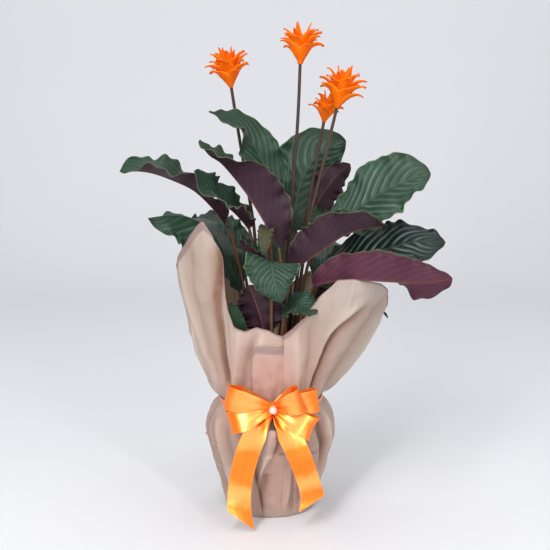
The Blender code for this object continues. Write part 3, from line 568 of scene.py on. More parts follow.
class Finish:
    """One material: a Principled shader and the nodes that feed it."""

    def __init__(self, name, **constants):
        self.material = bpy.data.materials.new(name)
        self.material.use_nodes = True
        self.tree = self.material.node_tree
        self.shader = self.tree.nodes["Principled BSDF"]
        for socket, value in constants.items():
            self.shader.inputs[socket.replace("_", " ")].default_value = value

    def feed(self, socket, value):
        """Link a socket, or set it."""
        if isinstance(value, Value):
            self.tree.links.new(value.socket, socket)
        else:
            socket.default_value = value

    def node(self, kind, settings, inputs, output=0):
        """Add a node with its settings and inputs and return one of its outputs."""
        made = self.tree.nodes.new(kind)
        for key, value in settings.items():
            setattr(made, key, value)
        for key, value in inputs.items():
            self.feed(made.inputs[key], value)
        return Value(self, made.outputs[output])

    def put(self, name, value):
        """Feed one of the shader's sockets."""
        self.feed(self.shader.inputs[name], value)

    def place(self):
        """Object coordinates."""
        return self.node("ShaderNodeTexCoord", {}, {}, "Object")

    def axes(self, vector):
        """The three parts of a vector."""
        made = self.node("ShaderNodeSeparateXYZ", {}, {0: vector})
        return [Value(self, made.socket.node.outputs[index]) for index in range(3)]

    def stretched(self, vector, scale):
        """Coordinates scaled."""
        return self.node("ShaderNodeMapping", {}, {"Vector": vector, "Scale": scale})

    def grain(self, vector, scale, detail=3.0, rough=0.5):
        """Noise from 0 to 1."""
        inputs = {"Vector": vector, "Scale": scale, "Detail": detail, "Roughness": rough}
        return self.node("ShaderNodeTexNoise", {}, inputs)

    def mix(self, share, first, second):
        """A colour between two."""
        inputs = {0: share, 6: first, 7: second}
        return self.node("ShaderNodeMix", {"data_type": "RGBA"}, inputs, 2)

    def surface_map(self):
        """The two parts of the piece's own UV map, and how far a place is from the map's middle line."""
        along, across, _ = self.axes(self.node("ShaderNodeUVMap", {"uv_map": "surface"}, {}))
        return along, across, (across * 2 - 1).size()

    def glow_through(self, color, share):
        """Let some light through the surface, as thin film and petals do."""
        through = self.node("ShaderNodeBsdfTranslucent", {}, {"Color": color})
        own = Value(self, self.shader.outputs[0])
        both = self.node("ShaderNodeMixShader", {}, {0: share, 1: own, 2: through})
        output = self.tree.nodes["Material Output"]
        self.tree.links.new(both.socket, output.inputs["Surface"])

    def done(self, color, rough=None, height=None, depth=0.0, strength=1.0):
        """Feed the colour, the roughness and a relief of a depth in metres, and return the material."""
        self.put("Base Color", color)
        if rough is not None:
            self.put("Roughness", rough)
        if height is not None:
            relief = {"Height": height, "Distance": depth, "Strength": strength}
            self.put("Normal", self.node("ShaderNodeBump", {}, relief))
        return self.material


def leaf_top(name, green, stripe, strength, rim):
    """Upper side of a leaf: silvery stripes along the side veins, a pale midrib and a lighter margin."""
    finish = Finish(name, Specular_IOR_Level=0.3)
    along, across, side = finish.surface_map()
    place = finish.place()
    dark = dimmed(green, 0.4)
    wander = finish.grain(place, 40.0) - 0.5
    veins = along * VEINS - side ** VEIN_BEND * VEIN_LEAN + wander * 0.5
    wave = veins.wave()
    lane = finish.node("ShaderNodeCombineXYZ", {}, {0: veins, 1: across * 2.0})
    uneven = finish.grain(lane, 0.8, 2.0).ramp(3.0, 0.95)
    stripes = wave.above(0.2, 1.5) * side.below(0.66, 4) * (side * 7).clamped()
    stripes = stripes * (along - 0.45).size().below(0.22, 3.5)
    streaks = (veins * 4.0 + wander * 3).wave() * 0.2 + 0.8
    broad = finish.grain(place, 13.0, 1.0).ramp(3.4, 1.1) * 0.75 + 0.25
    color = finish.mix((stripes * uneven * streaks * broad * strength).clamped(), green, stripe)
    fine = finish.grain(place, 260.0, 5.0)
    color = finish.mix((fine - 0.35).clamped() * 0.6, color, dark)
    color = finish.mix(wave.ramp(-1, 0.45) * 0.9 * (1 - side * 0.8), color, dark)
    color = finish.mix(finish.grain(place, 16.0, 3.0).ramp(3, 1.1) * 0.65, color, dark)
    color = finish.mix(side.below(0, 34) * 0.4, color, shade(MIDRIB_GREEN))
    color = finish.mix(side.above(0.955, 26) * finish.grain(place, 60.0).ramp(2.0, 0.75), color, rim)
    height = wave * 0.4 + (veins * 5).wave() * 0.15 + fine * 0.35
    return finish.done(color, 0.48 - fine * 0.2, height, 0.0005, 0.7)


def leaf_back(name, purple, stalk):
    """Underside of a leaf: dark purple, with a reddish midrib and faint side veins."""
    finish = Finish(name, Specular_IOR_Level=0.3)
    along, _, side = finish.surface_map()
    place = finish.place()
    veins = (along * VEINS - side ** VEIN_BEND * VEIN_LEAN).wave()
    mottle = finish.grain(place, 45.0, 4.0)
    color = finish.mix((mottle * 0.9 + veins * 0.12).clamped(), dimmed(purple, 0.45), dimmed(purple, 1.25))
    color = finish.mix(side.below(0, 22) * 0.8, color, stalk)
    color = finish.mix(side.above(0.95, 22) * 0.5, color, shade(BACK_MARGIN))
    height = veins * 0.5 + finish.grain(place, 400.0) * 0.4
    return finish.done(color, 0.5 + mottle * 0.2, height, 0.0004, 0.6)


def stalk_skin(name, color, other):
    """Stalks: two browns that run along the stalk in fine streaks."""
    finish = Finish(name, Specular_IOR_Level=0.3)
    place = finish.place()
    streaks = finish.grain(finish.stretched(place, (1, 1, 0.06)), 500.0, 3.0)
    patches = finish.grain(finish.stretched(place, (1, 1, 0.5)), 35.0, 3.0)
    blend = finish.mix(patches.ramp(2.4, 0.7), color, other)
    blend = finish.mix((streaks - 0.4).clamped() * 0.9, blend, dimmed(color, 0.4))
    return finish.done(blend, 0.42 + streaks * 0.25, streaks, 0.0003, 0.6)


def bract_skin(name, color):
    """Bracts: orange with deeper random patches and paler edges, painted shade towards the foot, and browned
    tips.
    """
    finish = Finish(name, Roughness=0.6, Specular_IOR_Level=0.15)
    along, across, side = finish.surface_map()
    mottle = finish.grain(finish.place(), 120.0, 4.0)
    blend = finish.mix(mottle.ramp(1.5, 0.45) * 0.8, color, shade(BRACT_DEEP))
    # Painted shade towards the foot of each bract, in the crowded middle of the head
    blend = finish.mix(along.below(0, 2.2) * 0.6, blend, shade(BRACT_FOOT_SHADE))
    blend = finish.mix(side.above(0.7, 3) * 0.35, blend, shade(BRACT_EDGE))
    blend = finish.mix(along.above(0.93, 14) * 0.8, blend, shade(BRACT_TIP))
    finish.glow_through(shade(BRACT_GLOW), 0.25)
    return finish.done(blend, None, (across * 9).wave() * 0.4 + mottle, 0.0004, 0.5)


def film_skin(choices):
    """Wrapping film: matte and a little translucent, with a border band. Painted light: the pot seen through
    the film, a reflection of the ribbon near the bow, shade in fold valleys and highlight on ridges, a sheen
    on the right panel and a shadow in the gap under the knot.
    """
    finish = Finish("film", Sheen_Weight=0.1, Specular_IOR_Level=0.35)
    down = finish.surface_map()[1]
    place = finish.place()
    x, y, z = finish.axes(place)
    cloud = finish.grain(place, 14.0, 3.0)
    weave = finish.grain(place, 900.0, 2.0)
    # Painted tint where the pot shows through the film, and a painted reflection of the ribbon near the bow
    pot_seen_through = z.below(FILM_POT_TOP, 30) * (z * 60).clamped()
    bow_reflection = z.near(FILM_BOW, 13) * x.near(0, 11) * (y * -40).clamped()
    painted_blush_share = (pot_seen_through * cloud.ramp(1.8, 0.35) * 0.75 + bow_reflection * 0.95).clamped()
    color = finish.mix(cloud.ramp(1.6, 0.4) * 0.5, choices.film, shade(FILM_CLOUD))
    color = finish.mix(painted_blush_share, color, choices.painted_blush)
    # Painted shade in the folds' valleys and a painted highlight on their ridges, read from the depth
    # attribute
    level = finish.node("ShaderNodeAttribute", {"attribute_name": "depth"}, {}, "Fac")
    color = finish.mix((0.5 - level).clamped() * 1.3, color, shade(FILM_VALLEY_SHADE))
    color = finish.mix((level - 0.5).clamped() * 1.1, color, shade(FILM_RIDGE_HIGHLIGHT))
    # Painted sheen: a pale reflection on the upper right panel of the film
    pale = z.near(FILM_SHEEN_HEIGHT, 26) * x.above(FILM_SHEEN_SIDE, 24) * (y * -60).clamped()
    color = finish.mix(pale * cloud.ramp(1.6, 0.3) * 0.7, color, shade(FILM_PAINTED_SHEEN))
    color = finish.mix(down.below(1.0, 12) * 0.85, color, choices.band)
    color = finish.mix(down.below(0.12, 20) * 0.6, color, shade(FILM_LINE))
    # Painted shadow in the gap under the knot, widening downwards
    low = ((GAP_TOP - z) * 400).clamped() * z.above(GAP_FOOT, 700) * y.ramp(-40, 1)
    gap_shadow = ((GAP_HALF + (GAP_TOP - z) * 0.2 - (x - GAP_SIDE).size()) * 1500).clamped() * low
    color = finish.mix(gap_shadow * 0.92, color, shade(GAP_SHADOW))
    creases = finish.grain(finish.stretched(place, (1, 1, 0.3)), 48.0, 3.0)
    ridges = finish.grain(finish.stretched(place, (1, 1, 0.45)), 26.0, 2.0).near(0.5, 9)
    finish.glow_through(shade(FILM_GLOW), 0.22)
    return finish.done(color, 0.42 + cloud * 0.2, creases + ridges * 0.35 + weave * 0.05, 0.0026, 0.75)


def satin(name, color):
    """Satin ribbon: a soft metallic gloss, a painted highlight in pale bands along the ribbon, and paler
    edges.
    """
    finish = Finish(name, Metallic=0.6, Sheen_Weight=0.1, Sheen_Roughness=0.3, Coat_Weight=0.1,
                    Coat_Roughness=0.25)
    along, across, side = finish.surface_map()
    place = finish.place()
    threads = (across * 60).wave() * 0.5 + 0.5
    cross = finish.grain(place, 120.0, 1.0)
    folds = finish.grain(place, 45.0, 2.0)
    blend = finish.mix(folds.ramp(1.6, 0.4) * 0.5, color, shade(SATIN_DEEP))
    # Painted highlight: pale bands at fixed places along the ribbon
    sheen = (along * 2 - 0.3 + (folds - 0.5) * 0.4).wave().above(0.1, 1.1)
    blend = finish.mix(sheen * 0.5, blend, shade(SATIN_PAINTED_HIGHLIGHT))
    blend = finish.mix(side.above(0.93, 14) * 0.5, blend, shade(SATIN_EDGE))
    return finish.done(blend, 0.2 + cross * 0.1 + threads * 0.05, folds, 0.0014, 0.5)


def pearl_skin(color):
    """Pearl bead."""
    finish = Finish("pearl", Coat_Weight=0.7, Coat_Roughness=0.05, Sheen_Weight=0.3)
    cloud = finish.grain(finish.place(), 140.0, 2.0)
    return finish.done(finish.mix(cloud, color, shade(PEARL_LIGHT)), 0.15 + cloud * 0.1)


def pot_plastic(color):
    """Matte moulded plastic with fine grain."""
    finish = Finish("pot_plastic")
    place = finish.place()
    grain = finish.grain(place, 700.0, 2.0)
    dust = finish.grain(place, 40.0, 4.0)
    blend = finish.mix((dust - 0.5).clamped() * 0.6, color, shade(POT_DUST))
    return finish.done(blend, 0.5 + grain * 0.2, grain, 0.0002, 0.5)


def potting_mix(color):
    """Dark crumbly potting mix with paler fibres."""
    finish = Finish("potting_mix")
    place = finish.place()
    crumbs = finish.grain(place, 260.0, 6.0, 0.7)
    fibres = finish.grain(finish.stretched(place, (1, 5, 1)), 180.0, 4.0)
    blend = finish.mix(crumbs.ramp(1.8, 0.5), dimmed(color, 0.35), color)
    blend = finish.mix(fibres.ramp(5, 3.2), blend, shade(SOIL_FIBRE))
    return finish.done(blend, 0.85 + crumbs * 0.1, crumbs, 0.0012)


# Mesh helpers


def between(values, share):
    """Read a value at a share from 0 to 1 along a short list of evenly spaced values."""
    place = share * (len(values) - 1)
    low = min(int(place), len(values) - 2)
    part = place - low
    first = values[low]
    second = values[low + 1]
    return first * (1 - part) + second * part


def table_at(table, place):
    """Read the values after the first of a sorted table at a place, with straight steps between rows."""
    if place <= table[0][0]:
        return table[0][1:]
    for low, high in zip(table, table[1:]):
        if place <= high[0]:
            part = (place - low[0]) / (high[0] - low[0])
            return tuple(a + (b - a) * part for a, b in zip(low[1:], high[1:]))
    return table[-1][1:]


def eased(share):
    """A share from 0 to 1 with soft ends."""
    share = min(max(share, 0.0), 1.0)
    return share * share * (3 - 2 * share)


def smooth_path(points, count, start=None):
    """Return count points evenly spaced along a Catmull-Rom curve through the points."""
    knots = [Vector(point) for point in points]
    slopes = [(after - before) / 2 for before, after in zip(knots, knots[2:])]
    first = start if start is not None else (knots[1] - knots[0]) * 1.5 - slopes[0] * 0.5
    last = (knots[-1] - knots[-2]) * 1.5 - slopes[-1] * 0.5
    slopes = [first] + slopes + [last]
    fine = []
    for index in range(len(knots) - 1):
        for step in range(PATH_STEPS):
            t = step / PATH_STEPS
            before = knots[index] * (2 * t ** 3 - 3 * t ** 2 + 1) + slopes[index] * (t ** 3 - 2 * t ** 2 + t)
            after = knots[index + 1] * (3 * t ** 2 - 2 * t ** 3) + slopes[index + 1] * (t ** 3 - t ** 2)
            fine.append(before + after)
    fine.append(knots[-1])
    lengths = [0.0]
    for before, after in zip(fine, fine[1:]):
        lengths.append(lengths[-1] + (after - before).length)
    result = []
    place = 0
    for index in range(count):
        goal = lengths[-1] * index / (count - 1)
        while place < len(lengths) - 2 and lengths[place + 1] < goal:
            place += 1
        part = (goal - lengths[place]) / (lengths[place + 1] - lengths[place])
        result.append(fine[place].lerp(fine[place + 1], part))
    return result


def directions(points):
    """Return the unit direction of travel at each point."""
    last = len(points) - 1
    return [(points[min(i + 1, last)] - points[max(i - 1, 0)]).normalized() for i in range(last + 1)]


def square_to(direction, vector):
    """Return the part of a vector square to a direction, as a unit vector."""
    return (vector - direction * vector.dot(direction)).normalized()


def carry(tangents, start):
    """Carry a side direction along a run without twist."""
    sides = [square_to(tangents[0], start)]
    for tangent in tangents[1:]:
        sides.append(square_to(tangent, sides[-1]))
    return sides


def add_grid(bm, columns, rows, place, look=None, depth=None):
    """Add a grid whose corners go where place(column, row) says: a point in millimetres and its UV.

    look(column, row), where it is given, is the number of the finish. depth(column, row) goes into the
    attribute of the same name, which the film's finish paints as shade in fold valleys and highlight on
    ridges.
    """
    fold_shade_levels = bm.verts.layers.float.new("depth") if depth else None
    uv = bm.loops.layers.uv.get("surface") or bm.loops.layers.uv.new("surface")
    corners = bmesh.ops.create_grid(bm, x_segments=columns, y_segments=rows, size=1.0)["verts"]
    spots = {}
    cells = {}
    for corner in corners:
        column = round((corner.co.x + 1) / 2 * columns)
        row = round((corner.co.y + 1) / 2 * rows)
        point, spots[corner] = place(column, row)
        cells[corner] = (column, row)
        corner.co = point * MM
        if depth:
            corner[fold_shade_levels] = depth(column, row)
    for face in {face for corner in corners for face in corner.link_faces}:
        if look:
            cell = [min(cells[corner][axis] for corner in face.verts) for axis in (0, 1)]
            face.material_index = look(*cell)
        for loop in face.loops:
            loop[uv].uv = spots[loop.vert]


def half_rings(point, side, up, radius, angles, marks):
    """A row of a round stalk: the points of its two halves, and their UV."""
    top = [point + (side * math.sin(a) + up * math.cos(a)) * radius for a in angles]
    bottom = [point + (side * math.sin(a) - up * math.cos(a)) * radius for a in angles]
    return top, bottom, marks


def add_blade(bm, rows, look=None):
    """Add a closed blade. Each row holds the points of its upper side, of its under side, and their UV."""
    width = len(rows[0][0])
    around = 2 * width

    def place(column, row):
        top, bottom, marks = rows[min(max(row - 1, 0), len(rows) - 1)]
        column %= around
        if row in (0, len(rows) + 1):
            return (top[0] + top[-1] + bottom[0] + bottom[-1]) / 4, marks[width // 2]
        if column < width:
            return top[column], marks[column]
        return bottom[around - 1 - column], marks[around - 1 - column]

    add_grid(bm, around, len(rows) + 1, place, look)


def finish_piece(name, bm, looks, nodes):
    """Merge seams and poles, turn the faces outwards, and put the piece on the frame for its nodes."""
    bmesh.ops.remove_doubles(bm, verts=bm.verts, dist=MERGE)
    bmesh.ops.recalc_face_normals(bm, faces=bm.faces)
    mesh = bpy.data.meshes.new(name)
    bm.to_mesh(mesh)
    bm.free()
    for look in looks:
        mesh.materials.append(look)
    mesh.shade_smooth()
    mesh.set_sharp_from_angle(angle=math.radians(SHARP_ANGLE))
    piece = bpy.data.objects.new(name, mesh)
    bpy.context.scene.collection.objects.link(piece)
    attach(piece, "root")
    if nodes:
        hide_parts(*nodes)
    return piece


def spun(bm, profile, steps=96):
    """Spin a (radius, height) profile round the vertical axis into the mesh."""
    corners = [bm.verts.new((radius * MM, 0, height * MM)) for radius, height in profile]
    edges = [bm.edges.new(pair) for pair in zip(corners, corners[1:])]
    bmesh.ops.spin(bm, geom=corners + edges, cent=(0, 0, 0), axis=(0, 0, 1), angle=math.tau, steps=steps,
                   use_merge=True)


# Pot and soil


def pot_inside(height):
    """Inner radius of the pot at a height."""
    share = (height - POT_BOTTOM) / (POT_TOP - POT_RIM_DROP - POT_BOTTOM)
    return POT_BASE_RADIUS + (POT_NECK_RADIUS - POT_BASE_RADIUS) * share - POT_WALL


def model_pot(look):
    """Nursery pot with a turned-out rim and soft edges."""
    rim = POT_TOP_RADIUS + POT_RIM_OUT
    foot = POT_TOP - POT_RIM_DROP
    floor = POT_BOTTOM + POT_FLOOR
    profile = [
        (0, POT_BOTTOM), (POT_BASE_RADIUS - 1, POT_BOTTOM), (POT_BASE_RADIUS, POT_BOTTOM + 1),
        (POT_NECK_RADIUS, foot - 0.4), (rim - 0.5, foot), (rim, foot + 0.6),
        (rim, POT_TOP - 0.8), (rim - 0.8, POT_TOP),
        (POT_TOP_RADIUS - POT_WALL + 0.5, POT_TOP), (POT_TOP_RADIUS - POT_WALL, POT_TOP - 0.8),
        (POT_NECK_RADIUS - POT_WALL, foot), (POT_BASE_RADIUS - POT_WALL, floor), (0, floor),
    ]
    bm = bmesh.new()
    spun(bm, profile)
    return finish_piece("nursery_pot", bm, [look], ["pot"])


def model_soil(look):
    """Potting mix with a rough crumbly top."""
    rng = random.Random(SEED)
    low = POT_BOTTOM + POT_FLOOR + 0.4
    edge = SOIL_TOP - SOIL_CROWN
    inner = pot_inside(edge) - SOIL_GAP
    profile = [(0, low), (pot_inside(low) - SOIL_GAP, low), (inner, edge)]
    for ring in range(1, SOIL_RINGS + 1):
        radius = inner * (1 - ring / SOIL_RINGS)
        profile.append((radius, SOIL_TOP - SOIL_CROWN * (radius / inner) ** 3))
    bm = bmesh.new()
    spun(bm, profile)
    for corner in bm.verts:
        if corner.co.z > (edge + 0.1) * MM:
            corner.co.z += MM * (1.5 * noise.noise(corner.co * 90) + 0.9 * noise.noise(corner.co * 320) - 0.4)
    for _ in range(CRUMBS):
        radius = inner * 0.96 * math.sqrt(rng.random())
        turn = rng.uniform(0, math.tau)
        size = rng.uniform(*CRUMB_SIZES) * MM
        height = SOIL_TOP - SOIL_CROWN * (radius / inner) ** 3 - 0.3
        place = Matrix.Translation(Vector((radius * math.cos(turn), radius * math.sin(turn), height)) * MM)
        squash = Matrix.Diagonal((rng.uniform(0.8, 1.6), rng.uniform(0.7, 1.3), rng.uniform(0.6, 1.0), 1))
        spin = Matrix.Rotation(rng.uniform(0, math.tau), 4, Vector((rng.random(), rng.random(), 1)))
        bmesh.ops.create_icosphere(bm, subdivisions=1, radius=size, matrix=place @ spin @ squash)
    return finish_piece("potting_soil", bm, [look], ["soil"])


# Wrap


def rim_at(angle):
    """Radius, height and flare of the rim at an angle."""
    first = WRAP_RIM[0]
    angle = (angle - first[0]) % 360 + first[0]
    return table_at(WRAP_RIM + [(first[0] + 360, *first[1:])], angle)


def body_profile(count):
    """Smooth (radius, height) points of the body up to the neck."""
    path = smooth_path([(radius, 0, height) for radius, height in WRAP_BODY], count)
    return [(point.x, max(point.z, 0.0)) for point in path]


def by_height(table):
    """A table of lines, with the places of each line sorted by height."""
    return [(depth, reach, sorted((level, turn) for turn, level in line)) for depth, reach, line in table]


FOLDS_BY_HEIGHT = by_height(WRAP_FOLDS)
LAPS_BY_HEIGHT = by_height(WRAP_LAPS)


def beside(line, angle, height, fade):
    """Degrees from a line of the film to an angle, and how strong the line is at a height."""
    low = line[0][0]
    top = line[-1][0]
    if not low - fade < height < top + fade:
        return 0.0, 0.0
    strength = eased((top + fade - height) / (2 * fade)) * eased((height - low + fade) / (2 * fade))
    return (angle - table_at(line, height)[0] + 180) % 360 - 180, strength


def fold_lift(angle, height):
    """How far the folds move the film out at a place."""
    lift = 0.0
    for depth, width, line in FOLDS_BY_HEIGHT:
        off, strength = beside(line, angle, height, FOLD_FADE)
        if strength and abs(off) <= FOLD_REACH:
            lift += FOLD_DEPTH * depth * strength * math.exp(-abs(off * FOLD_NARROWING / width) ** FOLD_CREST)
    return lift


def lap_lift(angle, height):
    """How far the free edges and sharp folds move the film. A negative run-out goes to the left."""
    lift = 0.0
    for drop, reach, line in LAPS_BY_HEIGHT:
        off, strength = beside(line, angle, height, LAP_FADE)
        off *= math.copysign(1, reach)
        reach = abs(reach)
        if strength and -LAP_STEP < off < reach * LAP_TAIL:
            step = eased((off + LAP_STEP / 2) / LAP_STEP)
            lift += drop * strength * step * math.exp(-max(off, 0.0) / reach)
    return lift


def gathers(angle, height, depth):
    """Fine gathers above and below the tied waist."""
    off = height - WAIST_HEIGHT
    fade = GATHERS_ABOVE if off > 0 else GATHERS_BELOW
    reach = math.exp(-(off / fade) ** 2) * min(1.0, abs(off) / TIE_CLEARANCE)
    turn = math.radians(angle)
    ripples = [share * math.sin(count * turn + phase + off * drift) for share, count, phase, drift in GATHERS]
    return depth * reach * sum(ripples)


def film_point(angle, radius, height, depth):
    """A point of the film, with its folds, gathers and crumples."""
    turn = math.radians(angle)
    spot = Vector((math.sin(turn) * 2.0, math.cos(turn) * 2.0, height * 0.022))
    rough = 1 - 2.4 * abs(noise.noise(spot)) + 0.5 * (1 - 2.4 * abs(noise.noise(spot * 2.7)))
    radius += (fold_lift(angle, height) + lap_lift(angle, height)) * min(1.0, height / 12.0)
    radius += gathers(angle, height, depth)
    radius += CRUMPLE * rough * min(1.0, height / 20.0) * min(1.0, abs(height - WAIST_HEIGHT) / 12.0)
    return Vector((radius * math.sin(turn), -radius * math.cos(turn), height))


def collar_radius(level, rim_radius, flare):
    """Radius of the collar at a level from 0 at the neck to 1 at the rim."""
    neck_radius = WRAP_BODY[-1][0]
    return neck_radius + (rim_radius - neck_radius) * level ** flare


def thicken(piece, thickness, offset):
    """Give a sheet of film its thickness."""
    shell = piece.modifiers.new("film thickness", "SOLIDIFY")
    shell.thickness = thickness
    shell.offset = offset
    shell.use_rim = True


def wrap_column(angle, body, depth):
    """Points of the film at an angle, from the middle of its base up to its rim."""
    rim_radius, rim_height, flare = rim_at(angle)
    neck_height = WRAP_BODY[-1][1]
    past = angle - OVERLAP_START
    lap = OVERLAP_LIFT * (1 - eased(past / 22)) - OVERLAP_TUCK * eased((past - 352) / 8)
    turn = math.radians(angle)
    line = []
    for ring in range(WRAP_BASE_RINGS):
        radius = WRAP_FOOT * (ring + 0.02) / WRAP_BASE_RINGS
        line.append(Vector((radius * math.sin(turn), -radius * math.cos(turn), 0.0)))
    for radius, height in body:
        line.append(film_point(angle, radius + lap * 0.2 * eased(height / 20), height, depth))
    for row in range(1, WRAP_COLLAR_ROWS + 1):
        level = row / WRAP_COLLAR_ROWS
        radius = collar_radius(level, rim_radius, flare) + lap * eased(level * 4)
        line.append(film_point(angle, radius, neck_height + (rim_height - neck_height) * level, depth))
    return line


def model_wrap(look, choices):
    """Film: closed under the pot, gathered at the waist, flared to an uneven rim, lapped over in front."""
    depth = choices.pleat / MM
    body = body_profile(WRAP_BODY_ROWS)
    step = (360 + OVERLAP_TURN) / WRAP_COLUMNS
    turns = [OVERLAP_START + step * column for column in range(WRAP_COLUMNS + 1)]
    table = [wrap_column(angle, body, depth) for angle in turns]
    marks = []
    for angle, line in zip(turns, table):
        band = table_at(BAND_WIDTHS, angle % 360)[0]
        distance = 0.0
        column = [0.0]
        for low, high in zip(line[::-1], line[::-1][1:]):
            distance += (high - low).length
            column.append(distance / band)
        marks.append(column[::-1])

    def place(column, row):
        return table[column][row], (turns[column] / 360, marks[column][row])

    # Depth of each point, from which the film's finish paints shade in fold valleys and a highlight on ridges
    def fold_shade_there(column, row):
        if row < WRAP_BASE_RINGS:
            return 0.5
        height = table[column][row].z
        angle = turns[column] % 360
        lift = fold_lift(angle, height) + 1.3 * lap_lift(angle, height) + gathers(angle, height, depth)
        return 0.5 + DEPTH_SHADE * lift

    bm = bmesh.new()
    add_grid(bm, WRAP_COLUMNS, len(table[0]) - 1, place, depth=fold_shade_there)
    piece = finish_piece("gift_wrap", bm, [look], ["wrap_film"])
    thicken(piece, choices.film_thickness, -1)
    return piece


def model_tongue(look, choices):
    """Tongue of the film that is tucked between the two front panels, with its own banded edge."""
    depth = choices.pleat / MM
    foot = WAIST_HEIGHT + TONGUE_FOOT
    neck_height = WRAP_BODY[-1][1]

    def place(column, row):
        across = column / TONGUE_COLUMNS
        up = row / TONGUE_ROWS
        angle = TONGUE_LEFT + (TONGUE_RIGHT - TONGUE_LEFT) * across
        top = TONGUE_TOP - 4.0 * across - 12.0 * (1 - min(across / 0.2, 1.0)) ** 2
        height = foot + (top - foot) * up
        rim_radius, rim_height, flare = rim_at(angle)
        level = max(height - neck_height, 0.0) / (rim_height - neck_height)
        pinch = -1.6 * math.exp(-((across - 0.22 - 0.5 * (1 - up)) / 0.1) ** 2) * (1 - up)
        lift = 0.5 + 1.6 * eased(up * 3) + pinch - 1.2 * eased((across - 0.7) / 0.3)
        point = film_point(angle, collar_radius(level, rim_radius, flare) + lift, height, depth)
        return point, (across * 0.1, 1.0 + 0.4 * abs(1 - up - 0.07) if up > 0.86 else 2.0)

    bm = bmesh.new()
    add_grid(bm, TONGUE_COLUMNS, TONGUE_ROWS, place, depth=lambda column, row: 0.5)
    piece = finish_piece("wrap_tongue", bm, [look], [])
    thicken(piece, choices.film_thickness, 1)
    return piece


# Tie, bow and bead


def add_ribbon(bm, path, across, widths, thickness, curl, gather=None, shear=None):
    """Add a strip of ribbon along a path, a little curled across its width."""
    rows = []
    for index, (point, tangent, side, width) in enumerate(zip(path, directions(path), across, widths)):
        side = square_to(tangent, side)
        normal = tangent.cross(side).normalized()
        top = []
        bottom = []
        for share in RIBBON_SHARES:
            lift = curl * (share * share * 4 - 0.5)
            if gather:
                lift += gather[index] * math.sin(share * math.tau * 2.0 + 0.6)
            place = point + side * width * share + normal * lift
            if shear:
                place = place + tangent * shear[index] * share * 2
            top.append(place + normal * thickness / 2)
            bottom.append(place - normal * thickness / 2)
        rows.append((top, bottom, [(index / (len(path) - 1), share + 0.5) for share in RIBBON_SHARES]))
    add_blade(bm, rows)


def model_tie(look, choices):
    """Narrow ribbon tied round the waist."""
    path = []
    for step in range(TIE_STEPS + 1):
        turn = math.tau * step / TIE_STEPS
        radius = TIE_RADIUS + 0.4 * math.sin(turn * 9)
        height = WAIST_HEIGHT + 0.5 * math.sin(turn * 5 + 1)
        path.append(Vector((radius * math.cos(turn), radius * math.sin(turn), height)))
    across = [Vector((0, 0, 1))] * len(path)
    bm = bmesh.new()
    add_ribbon(bm, path, across, [TIE_WIDTH] * len(path), choices.thickness / MM, 0.2)
    return finish_piece("waist_ribbon", bm, [look], ["waist_tie"])


def add_loop(bm, far, puff, roll, far_width, thickness):
    """Add one loop of the bow, out from the knot and back."""
    start = Vector(LOOP_ROOT)
    run = Vector(far) - start
    across = square_to(run.normalized(), Vector((0, 0, 1)))
    across = Matrix.Rotation(math.radians(roll), 3, run.normalized()) @ across
    path = []
    widths = []
    gather = []
    for step in range(BOW_STEPS + 1):
        angle = math.tau * step / BOW_STEPS
        reach = (1 - math.cos(angle)) / 2
        lift = math.sin(angle) * (0.25 + 0.7 * reach)
        path.append(start + run * reach + Vector((0, -1, 0)) * puff * (lift + 0.25 * reach))
        widths.append(RIBBON_PINCH + (far_width - RIBBON_PINCH) * min(1.0, reach * 1.5))
        gather.append(1.1 * (1 - eased(reach * 1.4)))
    add_ribbon(bm, path, [across] * len(path), widths, thickness, 0.5, gather)


def add_tail(bm, route, roll, slant, thickness):
    """Add one tail of the bow, cut at a slant."""
    shares = [step / BOW_STEPS for step in range(BOW_STEPS + 1)]
    across = [Matrix.Rotation(math.radians(roll * share), 3, "Z") @ Vector((1, 0, 0)) for share in shares]
    widths = [RIBBON_PINCH + (RIBBON - RIBBON_PINCH) * min(1.0, share * 4) for share in shares]
    gather = [1 - eased(share * 4) for share in shares]
    shear = [slant * eased((share - 0.8) / 0.2) for share in shares]
    add_ribbon(bm, smooth_path(route, len(shares)), across, widths, thickness, 0.6, gather, shear)


def model_bow(look, choices):
    """Satin bow: a gathered knot, five loops and two tails."""
    bm = bmesh.new()
    thickness = choices.thickness / MM
    for corner in bmesh.ops.create_uvsphere(bm, u_segments=32, v_segments=20, radius=1.0)["verts"]:
        turn = math.atan2(corner.co.y, corner.co.x)
        ridge = 1 + 0.05 * math.sin(turn * 7) * (1 - abs(corner.co.z))
        for axis in range(3):
            corner.co[axis] = (corner.co[axis] * KNOT_SIZE[axis] * ridge + KNOT[axis]) * MM
    for loop in BOW_LOOPS:
        add_loop(bm, *loop, thickness)
    for tail in BOW_TAILS:
        add_tail(bm, *tail, thickness)
    return finish_piece("satin_bow", bm, [look], ["ribbon_bow"])


def model_bead(look):
    """Round bead on the front of the knot."""
    bm = bmesh.new()
    place = Matrix.Translation(Vector(BEAD) * MM)
    bmesh.ops.create_uvsphere(bm, u_segments=48, v_segments=32, radius=BEAD_RADIUS * MM, matrix=place)
    return finish_piece("pearl_bead", bm, [look], ["bow_bead"])


# Leaves


def stalk_rows(root, target, aim, count):
    """Points of a stalk: straight down in its hole, then a curve to the target, met along aim."""
    x, y = root
    foot = Vector((x, y, SOIL_TOP - STEM_DEPTH))
    level = Vector((x, y, SOIL_TOP + 4.0))
    reach = (target - level).length
    handle = level + Vector((0, 0, reach * 0.3))
    arrival = ((target - level).normalized() + aim * 0.6).normalized()
    before = target - arrival * reach * 0.25
    points = [foot, level]
    for index in range(1, count):
        t = index / count
        points.append(level * (1 - t) ** 3 + handle * 3 * t * (1 - t) ** 2
                      + before * 3 * t * t * (1 - t) + target * t ** 3)
    return points


def blade_outline(share, belly):
    """Half width of the blade against its widest. A larger belly puts the widest place nearer the tip."""
    return math.sin(math.pi * share ** belly) ** 0.62


